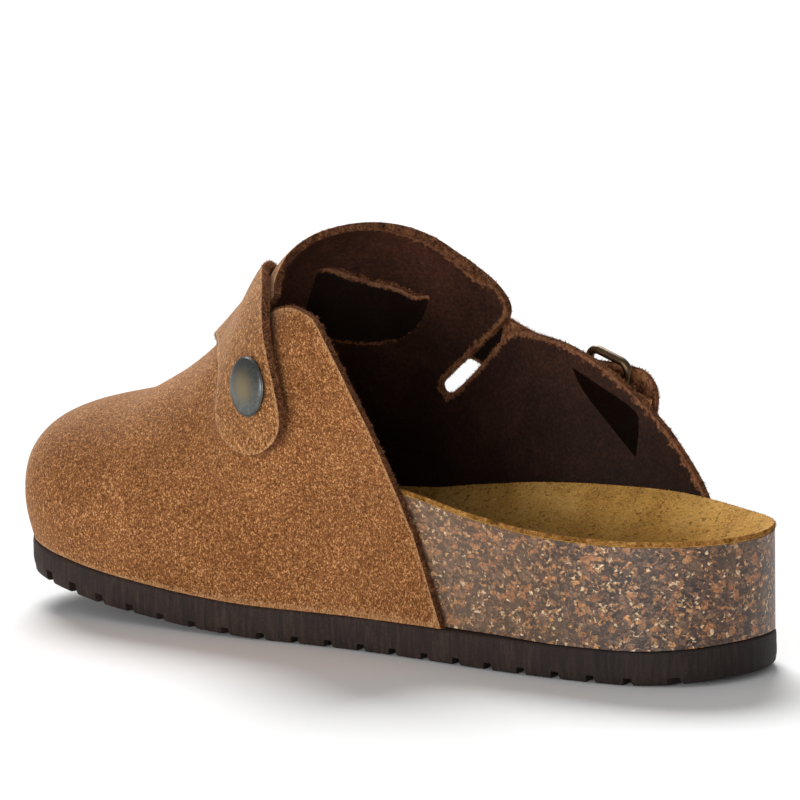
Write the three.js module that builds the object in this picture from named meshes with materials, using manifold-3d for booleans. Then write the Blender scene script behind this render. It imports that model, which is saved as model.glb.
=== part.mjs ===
// Suede clog mule, right foot: a lined cork footbed on a rubber outsole, a one-piece suede upper whose
// tongue is cut free by two slits, and an instep strap threaded through the tongue to a side buckle.
// Millimetres. +X points to the toe, +Y to the inner (medial) side, +Z up, with the floor at z = 0.
import * as THREE from 'three';
import { mergeVertices } from 'three/addons/utils/BufferGeometryUtils.js';
import Module from 'manifold-3d';

const wasm = await Module();
wasm.setup();

// Driving dimensions of the shoe
const shoeLength = 255;
const ballWidth = 91;
const heelWidth = 67;
const waistWidth = 72;
const outsoleThickness = 9.6;
const toeSpring = 12.8;
const heelLift = 2;
const rimHeight = 40.3;
const tongueHeight = 118;
const upperWall = 2.2;
const liningThickness = 1.5;
const fitGap = 0.3;
const strapWidth = 30.5;
const strapThickness = 3;
const strapTilt = 0.06;
const rivetDiameter = 17.5;

// Helpers on numbers
const clamp = (value, low, high) => Math.min(high, Math.max(low, value));
const lerp = (a, b, t) => a + (b - a) * t;
const smooth = (low, high, value) => {
  const t = clamp((value - low) / (high - low), 0, 1);
  return t * t * (3 - 2 * t);
};

// A curve through the rows of a table, without overshoot between them
function tableCurve(rows, read) {
  const xs = rows.map((row) => row.at);
  const ys = rows.map(read);
  const slopes = xs.slice(1).map((x, i) => (ys[i + 1] - ys[i]) / (x - xs[i]));
  const tangents = ys.map((y, i) => {
    if (i === 0) return slopes[0];
    if (i === ys.length - 1) return slopes[i - 1];
    const before = slopes[i - 1];
    const after = slopes[i];
    return before * after <= 0 ? 0 : (2 * before * after) / (before + after);
  });
  return (x) => {
    if (x <= xs[0]) return ys[0];
    if (x >= xs[xs.length - 1]) return ys[ys.length - 1];
    let i = 0;
    while (x > xs[i + 1]) i += 1;
    const step = xs[i + 1] - xs[i];
    const t = (x - xs[i]) / step;
    const rise = ys[i + 1] - ys[i];
    const start = tangents[i] * step;
    const end = tangents[i + 1] * step;
    return ys[i] + t * (start + t * (3 * rise - 2 * start - end + t * (start + end - 2 * rise)));
  };
}

// Outline of the sole. at is the share of the length from the heel, half is a share of half the named
// width, and shift moves the middle of the section to the inner side, as a share of the ball width.
const outlineTable = [
  { at: 0.0, width: heelWidth, half: 0.0, shift: 0.0 },
  { at: 0.02, width: heelWidth, half: 0.49, shift: 0.0 },
  { at: 0.05, width: heelWidth, half: 0.71, shift: 0.0 },
  { at: 0.1, width: heelWidth, half: 0.9, shift: 0.0 },
  { at: 0.17, width: heelWidth, half: 1.0, shift: 0.0 },
  { at: 0.26, width: waistWidth, half: 0.985, shift: -0.002 },
  { at: 0.35, width: waistWidth, half: 1.0, shift: -0.009 },
  { at: 0.45, width: waistWidth, half: 1.035, shift: -0.016 },
  { at: 0.55, width: ballWidth, half: 0.89, shift: -0.018 },
  { at: 0.64, width: ballWidth, half: 0.97, shift: -0.018 },
  { at: 0.72, width: ballWidth, half: 1.0, shift: -0.015 },
  { at: 0.8, width: ballWidth, half: 0.985, shift: 0.003 },
  { at: 0.88, width: ballWidth, half: 0.895, shift: 0.031 },
  { at: 0.94, width: ballWidth, half: 0.735, shift: 0.056 },
  { at: 0.98, width: ballWidth, half: 0.46, shift: 0.068 },
  { at: 1.0, width: ballWidth, half: 0.0, shift: 0.075 },
];
// Squared halves are interpolated, so that the heel and the toe come out round
const halfSquared = tableCurve(outlineTable, (row) => ((row.half * row.width) / 2) ** 2);
const middleAt = tableCurve(outlineTable, (row) => row.shift * ballWidth);

// Long sections. ridge is the height of the upper's ridge as a share of the tongue height, lean moves that
// ridge to the inner side, wall is the height above the sole where the upper is widest, bulge is how far it
// stands over the outline there, floor is the cork's thickness along its middle, spread and top are the
// roundness of the arch across and upwards. lean and bulge are shares of the ball width, wall and floor of
// the heel rim's height.
const sectionTable = [
  { at: 0, ridge: 1.02, lean: 0, wall: 0.596, bulge: -0.0044, floor: 0.385, spread: 2.2, top: 2.5 },
  { at: 0.35, ridge: 1.035, lean: 0, wall: 0.645, bulge: -0.0044, floor: 0.409, spread: 2.2, top: 2.5 },
  { at: 0.5, ridge: 1.035, lean: 0, wall: 0.67, bulge: -0.0022, floor: 0.385, spread: 2.15, top: 2.45 },
  { at: 0.56, ridge: 1.01, lean: 0.005, wall: 0.596, bulge: 0.0033, floor: 0.347, spread: 2.05, top: 2.3 },
  { at: 0.605, ridge: 0.985, lean: 0.017, wall: 0.541, bulge: 0.0055, floor: 0.318, spread: 1.9, top: 2.14 },
  { at: 0.645, ridge: 0.91, lean: 0.025, wall: 0.484, bulge: 0.0088, floor: 0.298, spread: 1.72, top: 1.97 },
  { at: 0.676, ridge: 0.84, lean: 0.03, wall: 0.447, bulge: 0.011, floor: 0.285, spread: 1.6, top: 1.85 },
  { at: 0.735, ridge: 0.705, lean: 0.04, wall: 0.397, bulge: 0.0176, floor: 0.261, spread: 1.75, top: 1.85 },
  { at: 0.79, ridge: 0.616, lean: 0.05, wall: 0.36, bulge: 0.022, floor: 0.248, spread: 1.95, top: 1.9 },
  { at: 0.85, ridge: 0.55, lean: 0.058, wall: 0.335, bulge: 0.0242, floor: 0.236, spread: 2.2, top: 2.1 },
  { at: 0.92, ridge: 0.526, lean: 0.062, wall: 0.323, bulge: 0.0242, floor: 0.236, spread: 2.4, top: 2.35 },
  { at: 0.97, ridge: 0.522, lean: 0.065, wall: 0.323, bulge: 0.022, floor: 0.236, spread: 2.5, top: 2.5 },
  { at: 1, ridge: 0.517, lean: 0.065, wall: 0.323, bulge: 0.022, floor: 0.236, spread: 2.5, top: 2.5 },
];
const sectionUnits = {
  ridge: tongueHeight, lean: ballWidth, wall: rimHeight, bulge: ballWidth, floor: rimHeight, spread: 1, top: 1,
};
const sectionOf = Object.fromEntries(
  Object.entries(sectionUnits).map(([name, unit]) => [
    name,
    tableCurve(sectionTable, (row) => row[name] * unit),
  ]),
);

// Rim of the footbed: heights above the floor as shares of the heel rim's height, and the width of the bank
// that leads down to the middle as a share of the ball width, on the inner and on the outer side
const rimTable = [
  { at: 0.0, inner: 0.985, outer: 0.985, innerBank: 0.275, outerBank: 0.275 },
  { at: 0.1, inner: 0.975, outer: 1.01, innerBank: 0.275, outerBank: 0.275 },
  { at: 0.2, inner: 0.99, outer: 1.04, innerBank: 0.264, outerBank: 0.264 },
  { at: 0.3, inner: 1.06, outer: 1.02, innerBank: 0.275, outerBank: 0.22 },
  { at: 0.4, inner: 1.18, outer: 0.97, innerBank: 0.297, outerBank: 0.187 },
  { at: 0.5, inner: 1.21, outer: 0.88, innerBank: 0.286, outerBank: 0.154 },
  { at: 0.6, inner: 1.05, outer: 0.78, innerBank: 0.22, outerBank: 0.132 },
  { at: 0.72, inner: 0.82, outer: 0.73, innerBank: 0.143, outerBank: 0.121 },
  { at: 0.85, inner: 0.81, outer: 0.78, innerBank: 0.121, outerBank: 0.121 },
  { at: 1.0, inner: 0.9, outer: 0.9, innerBank: 0.121, outerBank: 0.121 },
];
const rimOf = Object.fromEntries(
  ['inner', 'outer', 'innerBank', 'outerBank'].map((name) => [name, tableCurve(rimTable, (row) => row[name])]),
);

const shareAt = (x) => clamp(x / shoeLength + 0.5, 0, 1);
const lengthAt = (share) => (share - 0.5) * shoeLength;
const halfAt = (x) => Math.sqrt(Math.max(0, halfSquared(shareAt(x))));
const ridgeY = (x) => sectionOf.lean(shareAt(x));

// Underside of the outsole: flat from the heel to the ball, turned up at the toe and bevelled at the heel
const springStart = 0.56;
const springPower = 1.75;
const heelBevel = 0.1;
function underside(x) {
  const toe = clamp((shareAt(x) - springStart) / (1 - springStart), 0, 1);
  const heel = clamp((heelBevel - shareAt(x)) / heelBevel, 0, 1);
  return toeSpring * toe ** springPower + heelLift * heel ** 2;
}
const soleTop = (x) => underside(x) + outsoleThickness;

// Columns run round the outline from the heel over the inner side to the toe and back. Each has an edge
// point and a spine point, with a fan round the heel and a fan round the toe.
const stationCount = 36;
const heelFan = lengthAt(0) + 0.47 * heelWidth;
const toeFan = lengthAt(1) - 0.4 * ballWidth;
function column(x, side) {
  const spineX = clamp(x, heelFan, toeFan);
  const spine = new THREE.Vector2(spineX, ridgeY(spineX));
  const edge = new THREE.Vector2(x, middleAt(shareAt(x)) + side * halfAt(x));
  const outward = edge.clone().sub(spine);
  const reach = outward.length();
  return { x, side, spine, edge, reach, outward: outward.normalize() };
}
const stations = Array.from({ length: stationCount + 1 }, (_, i) => {
  return (-shoeLength / 2) * Math.cos((Math.PI * i) / stationCount);
});
const ring = [
  ...stations.map((x) => column(x, 1)),
  ...stations.slice(1, -1).reverse().map((x) => column(x, -1)),
];
// A plan point of a column: part 0 is on the spine and 1 on the outline, grown outward by grow
const planPoint = (col, part, grow = 0) => {
  const distance = Math.max(0, col.reach + grow) * part;
  return col.spine.clone().addScaledVector(col.outward, distance);
};

// Mesh and solid helpers
function geometryFrom(positions, triangles) {
  const geometry = new THREE.BufferGeometry();
  geometry.setAttribute('position', new THREE.Float32BufferAttribute(positions, 3));
  geometry.setIndex(triangles);
  return geometry;
}
function solidFrom(positions, triangles) {
  return new wasm.Manifold(
    new wasm.Mesh({
      numProp: 3,
      vertProperties: new Float32Array(positions),
      triVerts: new Uint32Array(triangles),
    }),
  );
}
// Turns the triangles over if the body they close holds a negative volume; an open dome is closed by its
// own bottom edge, which lies nearly flat
function outwardOrder(positions, triangles) {
  let volume = 0;
  const p = (id) => new THREE.Vector3().fromArray(positions, id * 3);
  for (let t = 0; t < triangles.length; t += 3) {
    volume += p(triangles[t]).dot(p(triangles[t + 1]).cross(p(triangles[t + 2])));
  }
  if (volume > 0) return triangles;
  const turned = [];
  for (let t = 0; t < triangles.length; t += 3) {
    turned.push(triangles[t], triangles[t + 2], triangles[t + 1]);
  }
  return turned;
}
// A closed three.js geometry as a solid: only its places are kept, and equal ones are joined
function solidOf(geometry) {
  const bare = new THREE.BufferGeometry();
  bare.setAttribute('position', geometry.getAttribute('position').clone());
  if (geometry.index) bare.setIndex(geometry.index.clone());
  const merged = mergeVertices(bare, 1e-4);
  const ids = merged.index.array;
  const kept = [];
  for (let t = 0; t < ids.length; t += 3) {
    const [a, b, c] = [ids[t], ids[t + 1], ids[t + 2]];
    if (a !== b && b !== c && c !== a) kept.push(a, b, c);
  }
  const positions = Array.from(merged.getAttribute('position').array);
  return solidFrom(positions, outwardOrder(positions, kept));
}
// A body swept through sections of equal point counts, closed at both ends by fans
function sweptSolid(sections) {
  const positions = [];
  const triangles = [];
  const n = sections[0].length;
  for (const section of sections) for (const point of section) positions.push(point.x, point.y, point.z);
  for (let s = 0; s < sections.length - 1; s += 1) {
    for (let k = 0; k < n; k += 1) {
      const a = s * n + k;
      const b = s * n + ((k + 1) % n);
      triangles.push(a, b, b + n, a, b + n, a + n);
    }
  }
  for (const [base, turn] of [[0, true], [(sections.length - 1) * n, false]]) {
    for (let k = 0; k < n / 2 - 1; k += 1) {
      const quad = [base + k, base + k + 1, base + n - 2 - k, base + n - 1 - k];
      if (turn) triangles.push(quad[0], quad[2], quad[1], quad[0], quad[3], quad[2]);
      else triangles.push(quad[0], quad[1], quad[2], quad[0], quad[2], quad[3]);
    }
  }
  return solidFrom(positions, outwardOrder(positions, triangles));
}
// Levels of points from the spine below, out round the edge and back to the spine above, as one body.
// The first and the last level lie on the spine, where the two sides share their points.
function indexedLevels(levels, closedEnds, crossed = 0) {
  const positions = [];
  const known = new Map();
  const ids = levels.map((level, k) => {
    return level.map((point, i) => {
      const onSpine = closedEnds[k];
      const key = onSpine ? `${k}:${ring[i].spine.x.toFixed(4)}` : `${k}/${i}`;
      if (!known.has(key)) {
        known.set(key, positions.length / 3);
        positions.push(point.x, point.y, point.z);
      }
      return known.get(key);
    });
  });
  const triangles = [];
  const addTriangle = (a, b, c) => {
    if (a !== b && b !== c && c !== a) triangles.push(a, b, c);
  };
  for (let k = 0; k < levels.length - 1; k += 1) {
    for (let i = 0; i < ring.length; i += 1) {
      const next = (i + 1) % ring.length;
      if (k < crossed) {
        addTriangle(ids[k][i], ids[k][next], ids[k + 1][i]);
        addTriangle(ids[k][next], ids[k + 1][next], ids[k + 1][i]);
      } else {
        addTriangle(ids[k][i], ids[k][next], ids[k + 1][next]);
        addTriangle(ids[k][i], ids[k + 1][next], ids[k + 1][i]);
      }
    }
  }
  return { positions, triangles, ids };
}
function ringSolid(levels, crossed = 0) {
  const closedEnds = levels.map((_, k) => k === 0 || k === levels.length - 1);
  const { positions, triangles } = indexedLevels(levels, closedEnds, crossed);
  return solidFrom(positions, outwardOrder(positions, triangles));
}
const level = (place) => ring.map((col) => place(col));
const at = (plan, z) => new THREE.Vector3(plan.x, plan.y, z);

// Upper's outer face over a column: height 0 is its bottom edge, 1 the ridge. The first part goes up the
// side to the widest place, the rest is a rounded arch.
const wallPart = 0.16;
const baseInset = 0.4;
// The inner quarter flares out behind the strap, most of all near its top
const innerFlare = 0.165 * ballWidth;
const flareEnd = { from: 0.5, to: 0.68 };
function facePoint(col, height) {
  const share = shareAt(col.x);
  const bulge = sectionOf.bulge(share);
  if (height <= wallPart) {
    const t = height / wallPart;
    const grow = lerp(-baseInset, bulge, Math.sin((t * Math.PI) / 2));
    const plan = planPoint(col, 1, grow);
    return at(plan, soleTop(plan.x) + fitGap + sectionOf.wall(share) * t);
  }
  const turn = (((height - wallPart) / (1 - wallPart)) * Math.PI) / 2;
  const across = Math.max(0, Math.cos(turn)) ** (2 / sectionOf.spread(share));
  const flare = col.side > 0 ? innerFlare * (1 - smooth(flareEnd.from, flareEnd.to, share)) : 0;
  const plan = planPoint(col, across, bulge).addScaledVector(col.outward, flare * Math.sin(2 * turn));
  const own = shareAt(plan.x);
  const foot = soleTop(plan.x) + fitGap + sectionOf.wall(own);
  const rise = sectionOf.ridge(own) - foot;
  return at(plan, foot + rise * Math.sin(turn) ** (2 / sectionOf.top(own)));
}
// The same face by length and side: v runs from -1 at the outer bottom edge over the ridge to 1 inside
const faceAt = (x, v) => facePoint(column(x, v < 0 ? -1 : 1), 1 - Math.abs(v));
function faceFrame(x, v) {
  const alongX = faceAt(x + 0.5, v).sub(faceAt(x - 0.5, v));
  const alongV = faceAt(x, v + 0.004).sub(faceAt(x, v - 0.004)).divideScalar(0.008);
  const normal = alongX.clone().cross(alongV).normalize();
  return { point: faceAt(x, v), alongX, alongV, normal };
}
// Walks over the face from one place in a direction for a distance, in short steps
function walkOnFace(x, v, direction, distance) {
  const steps = Math.max(1, Math.ceil(Math.abs(distance) / 3));
  const step = distance / steps;
  for (let i = 0; i < steps; i += 1) {
    const { alongX, alongV } = faceFrame(x, v);
    const a = alongX.dot(alongX);
    const b = alongX.dot(alongV);
    const c = alongV.dot(alongV);
    const p = alongX.dot(direction) * step;
    const q = alongV.dot(direction) * step;
    const scale = a * c - b * b;
    x += (p * c - q * b) / scale;
    v += (q * a - p * b) / scale;
  }
  return { x, v };
}

// Outsole: bevelled lower edge, straight sides, wavy grooves across the tread
function makeOutsole() {
  const bevel = outsoleThickness * 0.11;
  const lower = (col, part, grow) => {
    const plan = planPoint(col, part, grow);
    return at(plan, underside(plan.x));
  };
  let body = ringSolid([
    level((col) => lower(col, 0, 0)),
    level((col) => lower(col, 0.55, 0)),
    level((col) => lower(col, 1, -bevel)),
    level((col) => lower(col, 1, -bevel * 0.25).add(new THREE.Vector3(0, 0, bevel))),
    level((col) => at(planPoint(col, 1), soleTop(col.x) - 1.2)),
    level((col) => at(planPoint(col, 1, -0.3), soleTop(col.x))),
    level((col) => at(planPoint(col, 0), soleTop(col.spine.x))),
  ]);
  const groovePitch = shoeLength / 22;
  const grooveWidth = groovePitch * 0.25;
  const grooveDepth = outsoleThickness * 0.22;
  const waveHeight = groovePitch * 0.22;
  const waveStep = ballWidth / 7;
  for (let x = -shoeLength / 2 + groovePitch; x < shoeLength / 2 - groovePitch / 3; x += groovePitch) {
    const positions = [];
    const triangles = [];
    const rows = 9;
    for (let j = 0; j < rows; j += 1) {
      const y = (j - (rows - 1) / 2) * waveStep;
      const middle = x + (j % 2 === 0 ? waveHeight : -waveHeight) / 2;
      const front = middle + grooveWidth / 2;
      const back = middle - grooveWidth / 2;
      positions.push(back, y, -3, front, y, -3);
      positions.push(front, y, underside(front) + grooveDepth, back, y, underside(back) + grooveDepth);
    }
    for (let j = 0; j < rows - 1; j += 1) {
      for (let k = 0; k < 4; k += 1) {
        const a = j * 4 + k;
        const b = j * 4 + ((k + 1) % 4);
        triangles.push(a, b, b + 4, a, b + 4, a + 4);
      }
    }
    const last = (rows - 1) * 4;
    triangles.push(0, 2, 1, 0, 3, 2, last, last + 1, last + 2, last, last + 2, last + 3);
    body = body.subtract(solidFrom(positions, outwardOrder(positions, triangles)));
  }
  return body;
}

// Cork footbed: its sides are bare round the heel and stand inside the upper further forward
const rimAt = (col) => rimHeight * (col.side > 0 ? rimOf.inner : rimOf.outer)(shareAt(col.x));
const bankAt = (col) => ballWidth * (col.side > 0 ? rimOf.innerBank : rimOf.outerBank)(shareAt(col.x));
const wrapStarts = { inner: -0.215, outer: -0.42 };
const wrapBlend = 0.12;
function wrapAt(col) {
  const start = (col.side > 0 ? wrapStarts.inner : wrapStarts.outer) * shoeLength;
  return smooth(start - wrapBlend * shoeLength, start, col.x);
}
// Distance to go in from the outline to stand just inside the upper at a height
function insideUpper(col, z) {
  let low = 0;
  let high = 1;
  for (let i = 0; i < 30; i += 1) {
    const middle = (low + high) / 2;
    if (facePoint(col, middle).z < z) low = middle;
    else high = middle;
  }
  const found = facePoint(col, low);
  const distance = new THREE.Vector2(found.x, found.y).sub(col.spine).length();
  return distance - col.reach - (upperWall + fitGap) * 1.2;
}
const heelInset = -0.3;
const corkGrow = (col, z) => lerp(heelInset, Math.min(heelInset, insideUpper(col, z)), wrapAt(col));
const rimGrow = ring.map((col) => corkGrow(col, rimAt(col) + liningThickness + fitGap));
function footbedPoint(i, t, lift) {
  const col = ring[i];
  const reach = col.reach + rimGrow[i];
  const plan = col.spine.clone().addScaledVector(col.outward, reach * (1 - t));
  const floor = soleTop(plan.x) + sectionOf.floor(shareAt(plan.x));
  const bank = bankAt(col);
  const part = clamp(1 - (t * reach) / bank, 0, 1);
  const slope = (2 * part * (rimAt(col) - floor)) / bank;
  const stretch = lerp(1, Math.sqrt(1 + slope * slope), clamp(t * 12, 0, 1));
  return at(plan, floor + (rimAt(col) - floor) * part * part + lift * stretch);
}
const footbedParts = [0, 0.07, 0.17, 0.31, 0.5, 0.74, 1];
const footbedLevels = (lift) => footbedParts.map((t) => ring.map((_, i) => footbedPoint(i, t, lift)));
function makeCork() {
  const side = (part) => ring.map((col, i) => {
    const bottom = soleTop(col.x) + fitGap;
    const z = lerp(bottom, rimAt(col), part);
    const grow = part === 1 ? rimGrow[i] : corkGrow(col, z);
    return at(planPoint(col, 1, grow), z);
  });
  return ringSolid([
    level((col) => at(planPoint(col, 0), soleTop(col.spine.x) + fitGap)),
    side(0),
    side(0.3),
    side(0.65),
    ...footbedLevels(0),
  ]);
}
const makeInsole = () => {
  const lower = footbedLevels(fitGap).reverse();
  return ringSolid([...lower, ...footbedLevels(fitGap + liningThickness)], lower.length - 1);
};

// Upper: an outer face and an inner face one wall apart, joined along the bottom edge, then cut open
const faceHeights = [0, 0.5, 1].map((t) => t * wallPart);
const archSteps = 9;
for (let i = 1; i <= archSteps; i += 1) faceHeights.push(lerp(wallPart, 1, (i / archSteps) ** 0.9));
function makeShell() {
  const outer = faceHeights.map((height) => level((col) => facePoint(col, height)));
  const ends = outer.map((_, k) => k === outer.length - 1);
  const { positions, triangles, ids } = indexedLevels(outer, ends);
  const order = outwardOrder(positions, triangles);
  const geometry = geometryFrom(positions, order);
  geometry.computeVertexNormals();
  const normals = geometry.getAttribute('normal');
  const inner = outer.map((points, k) => points.map((point, i) => {
    const normal = new THREE.Vector3().fromBufferAttribute(normals, ids[k][i]);
    if (k === 0) normal.setZ(0).normalize();
    return point.clone().addScaledVector(normal, -upperWall);
  }));
  return ringSolid([...inner.reverse(), ...outer], inner.length - 1);
}
// The free edge of the tongue seen from above. at is a share of the shoe's length from the middle of the
// sole, out a share of the ball width to the inner side.
const tongueEdge = [
  { at: 0.0973, out: 0.2637 }, { at: 0.1043, out: 0.1978 }, { at: 0.1051, out: 0.1374 },
  { at: 0.098, out: 0.0879 }, { at: 0.0839, out: 0.0396 }, { at: 0.0682, out: -0.0154 },
  { at: 0.0557, out: -0.0714 }, { at: 0.0435, out: -0.1242 }, { at: 0.022, out: -0.1978 },
  { at: -0.0055, out: -0.2571 }, { at: -0.0314, out: -0.2857 },
];
// Side cut-outs seen from the side. at as above, up is a height as a share of the tongue height.
const innerCut = [
  { at: 0.0973, up: 1.2712 }, { at: 0.0973, up: 0.9203 }, { at: 0.0886, up: 0.8898 },
  { at: 0.0784, up: 0.8695 }, { at: 0.0722, up: 0.8542 }, { at: 0.0902, up: 0.8237 },
  { at: 0.1176, up: 0.7754 }, { at: 0.131, up: 0.7508 }, { at: 0.1302, up: 0.7314 },
  { at: 0.12, up: 0.7305 }, { at: 0.0965, up: 0.7695 }, { at: 0.0769, up: 0.8068 },
  { at: 0.0627, up: 0.8246 }, { at: 0.0427, up: 0.8381 }, { at: 0.0224, up: 0.8441 },
  { at: 0.0012, up: 0.8347 }, { at: -0.0161, up: 0.8136 }, { at: -0.0431, up: 0.7356 },
  { at: -0.0667, up: 0.6458 }, { at: -0.0855, up: 0.5576 }, { at: -0.1027, up: 0.4508 },
  { at: -0.12, up: 0.3356 }, { at: -0.138, up: 0.2288 }, { at: -0.1624, up: 0.0847 },
  { at: -0.1804, up: 0 }, { at: -0.1961, up: -0.1695 }, { at: -0.5882, up: -0.1695 },
  { at: -0.5882, up: 1.2712 },
];
const outerCut = [
  { at: -0.0314, up: 1.2712 }, { at: -0.0314, up: 0.8898 }, { at: -0.0431, up: 0.8712 },
  { at: -0.0533, up: 0.8508 }, { at: -0.062, up: 0.8254 }, { at: -0.0671, up: 0.7949 },
  { at: -0.0616, up: 0.7593 }, { at: -0.0373, up: 0.7186 }, { at: 0.0282, up: 0.6186 },
  { at: 0.051, up: 0.5831 }, { at: 0.0643, up: 0.5576 }, { at: 0.0596, up: 0.5356 },
  { at: 0.0447, up: 0.5407 }, { at: 0.02, up: 0.5763 }, { at: -0.0024, up: 0.6136 },
  { at: -0.0525, up: 0.7034 }, { at: -0.0667, up: 0.722 }, { at: -0.0863, up: 0.7254 },
  { at: -0.1325, up: 0.7127 }, { at: -0.1627, up: 0.6932 }, { at: -0.2, up: 0.6576 },
  { at: -0.2337, up: 0.6102 }, { at: -0.2773, up: 0.5356 }, { at: -0.2957, up: 0.4966 },
  { at: -0.3145, up: 0.4508 }, { at: -0.3337, up: 0.3983 }, { at: -0.349, up: 0.339 },
  { at: -0.3608, up: 0.2542 }, { at: -0.3686, up: 0.0847 }, { at: -0.3686, up: -0.1695 },
  { at: -0.5882, up: -0.1695 }, { at: -0.5882, up: 1.2712 },
];
const sideOutline = (rows) => rows.map((row) => [row.at * shoeLength, row.up * tongueHeight]);
const sheet = (rows) => new THREE.Shape(rows.map(([a, b]) => new THREE.Vector2(a, b)));
// Cuts from one width outwards on its side
function sideCutter(rows, from) {
  const depth = ballWidth;
  const geometry = new THREE.ExtrudeGeometry(sheet(sideOutline(rows)), { depth, bevelEnabled: false });
  geometry.rotateX(Math.PI / 2);
  return solidOf(geometry.translate(0, from > 0 ? from + depth : from, 0));
}
// Cuts from above everything behind the tongue
function tongueCutter() {
  const places = tongueEdge.map((row) => new THREE.Vector2(row.at * shoeLength, row.out * ballWidth));
  const edge = new THREE.SplineCurve(places).getPoints(36).map((point) => [point.x, point.y]);
  const rows = [...edge, [-0.6 * shoeLength, places[places.length - 1].y], [-0.6 * shoeLength, places[0].y]];
  const geometry = new THREE.ExtrudeGeometry(sheet(rows), { depth: 2 * tongueHeight, bevelEnabled: false });
  return solidOf(geometry.translate(0, 0, -0.2 * tongueHeight));
}

// Strap: its middle line over the face, from the rivet's end to the buckle's. at is a share of the shoe's
// length, v the place across the face, layer is 1 over the leather, -1 under it and 0 in a slot, lift is its
// height above that layer, width and thick are shares of the strap's own, skew turns the way up or down
// across the strap, tilt raises its rear edge.
const strapPath = [
  { at: 0.0769, v: 0.712, layer: 1, lift: 0, width: 1, skew: 0, thick: 1, tilt: 1 },
  { at: 0.0769, v: 0.65, layer: 1, lift: 0, width: 1, skew: 0, thick: 1, tilt: 1 },
  { at: 0.0792, v: 0.585, layer: 1, lift: 0, width: 1, skew: 0, thick: 1, tilt: 1 },
  { at: 0.0941, v: 0.49, layer: 1, lift: 0, width: 1.016, skew: 0, thick: 1, tilt: 0.8 },
  { at: 0.1231, v: 0.39, layer: 1, lift: 0, width: 1.01, skew: 0, thick: 1, tilt: 0.4 },
  { at: 0.1569, v: 0.27, layer: 1, lift: 0, width: 0.938, skew: 0, thick: 0.92, tilt: 0 },
  { at: 0.1827, v: 0.165, layer: 1, lift: 0, width: 0.879, skew: 0, thick: 0.8, tilt: 0 },
  { at: 0.1945, v: 0.06, layer: 1, lift: 0, width: 0.852, skew: 0, thick: 0.72, tilt: 0 },
  { at: 0.1937, v: -0.08, layer: 1, lift: 0, width: 0.839, skew: 0, thick: 0.7, tilt: 0 },
  { at: 0.1765, v: -0.2, layer: 0, lift: 0, width: 0.839, skew: 0, thick: 0.7, tilt: 0 },
  { at: 0.1655, v: -0.285, layer: -1, lift: 0, width: 0.833, skew: 0, thick: 0.7, tilt: 0 },
  { at: 0.1451, v: -0.365, layer: -1, lift: 0, width: 0.82, skew: 0.3, thick: 0.7, tilt: 0 },
  { at: 0.1098, v: -0.445, layer: -1, lift: 0, width: 0.79, skew: 0.6, thick: 0.7, tilt: 0 },
  { at: 0.08, v: -0.502, layer: 0, lift: 0, width: 0.751, skew: 0.6, thick: 0.7, tilt: 0 },
  { at: 0.051, v: -0.535, layer: 1, lift: 0, width: 0.711, skew: 0.6, thick: 0.7, tilt: 0 },
  { at: 0, v: -0.575, layer: 1, lift: 0, width: 0.675, skew: 0.3, thick: 0.7, tilt: 0 },
  { at: -0.0706, v: -0.63, layer: 1, lift: 0, width: 0.656, skew: 0, thick: 0.7, tilt: 0 },
  { at: -0.1176, v: -0.652, layer: 1, lift: 0, width: 0.646, skew: 0, thick: 0.7, tilt: 0 },
  { at: -0.149, v: -0.667, layer: 1, lift: 0, width: 0.646, skew: 0, thick: 0.7, tilt: 0 },
  { at: -0.1647, v: -0.675, layer: 1, lift: 1.2, width: 0.646, skew: 0, thick: 0.7, tilt: 0 },
  { at: -0.1882, v: -0.686, layer: 1, lift: 5.3, width: 0.646, skew: 0, thick: 0.7, tilt: 0 },
  { at: -0.2078, v: -0.696, layer: 1, lift: 7.5, width: 0.646, skew: 0, thick: 0.7, tilt: 0 },
  { at: -0.2275, v: -0.706, layer: 1, lift: 6, width: 0.646, skew: 0, thick: 0.7, tilt: 0 },
  { at: -0.2431, v: -0.716, layer: 1, lift: 4.4, width: 0.646, skew: 0, thick: 0.7, tilt: 0 },
];
const strapLayer = (row) => {
  const half = (row.thick * strapThickness) / 2;
  const over = 1.8 * fitGap + half;
  const under = -(upperWall + 2.4 * fitGap + half);
  return lerp(under, over, (row.layer + 1) / 2) + row.lift;
};
const alongStrap = (read) => tableCurve(strapPath.map((row, i) => ({ at: i, value: read(row) })), (row) => row.value);
const lastRow = strapPath.length - 1;
const strapCurves = {
  x: alongStrap((row) => row.at * shoeLength),
  v: alongStrap((row) => row.v),
  lift: alongStrap(strapLayer),
  half: alongStrap((row) => (row.width * strapWidth) / 2),
  skew: alongStrap((row) => row.skew),
  thick: alongStrap((row) => row.thick * strapThickness),
  tilt: alongStrap((row) => row.tilt * strapTilt),
};
const strapLength = strapPath
  .map((row) => faceAt(row.at * shoeLength, row.v))
  .reduce((sum, point, i, all) => (i ? sum + point.distanceTo(all[i - 1]) : 0), 0);
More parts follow.
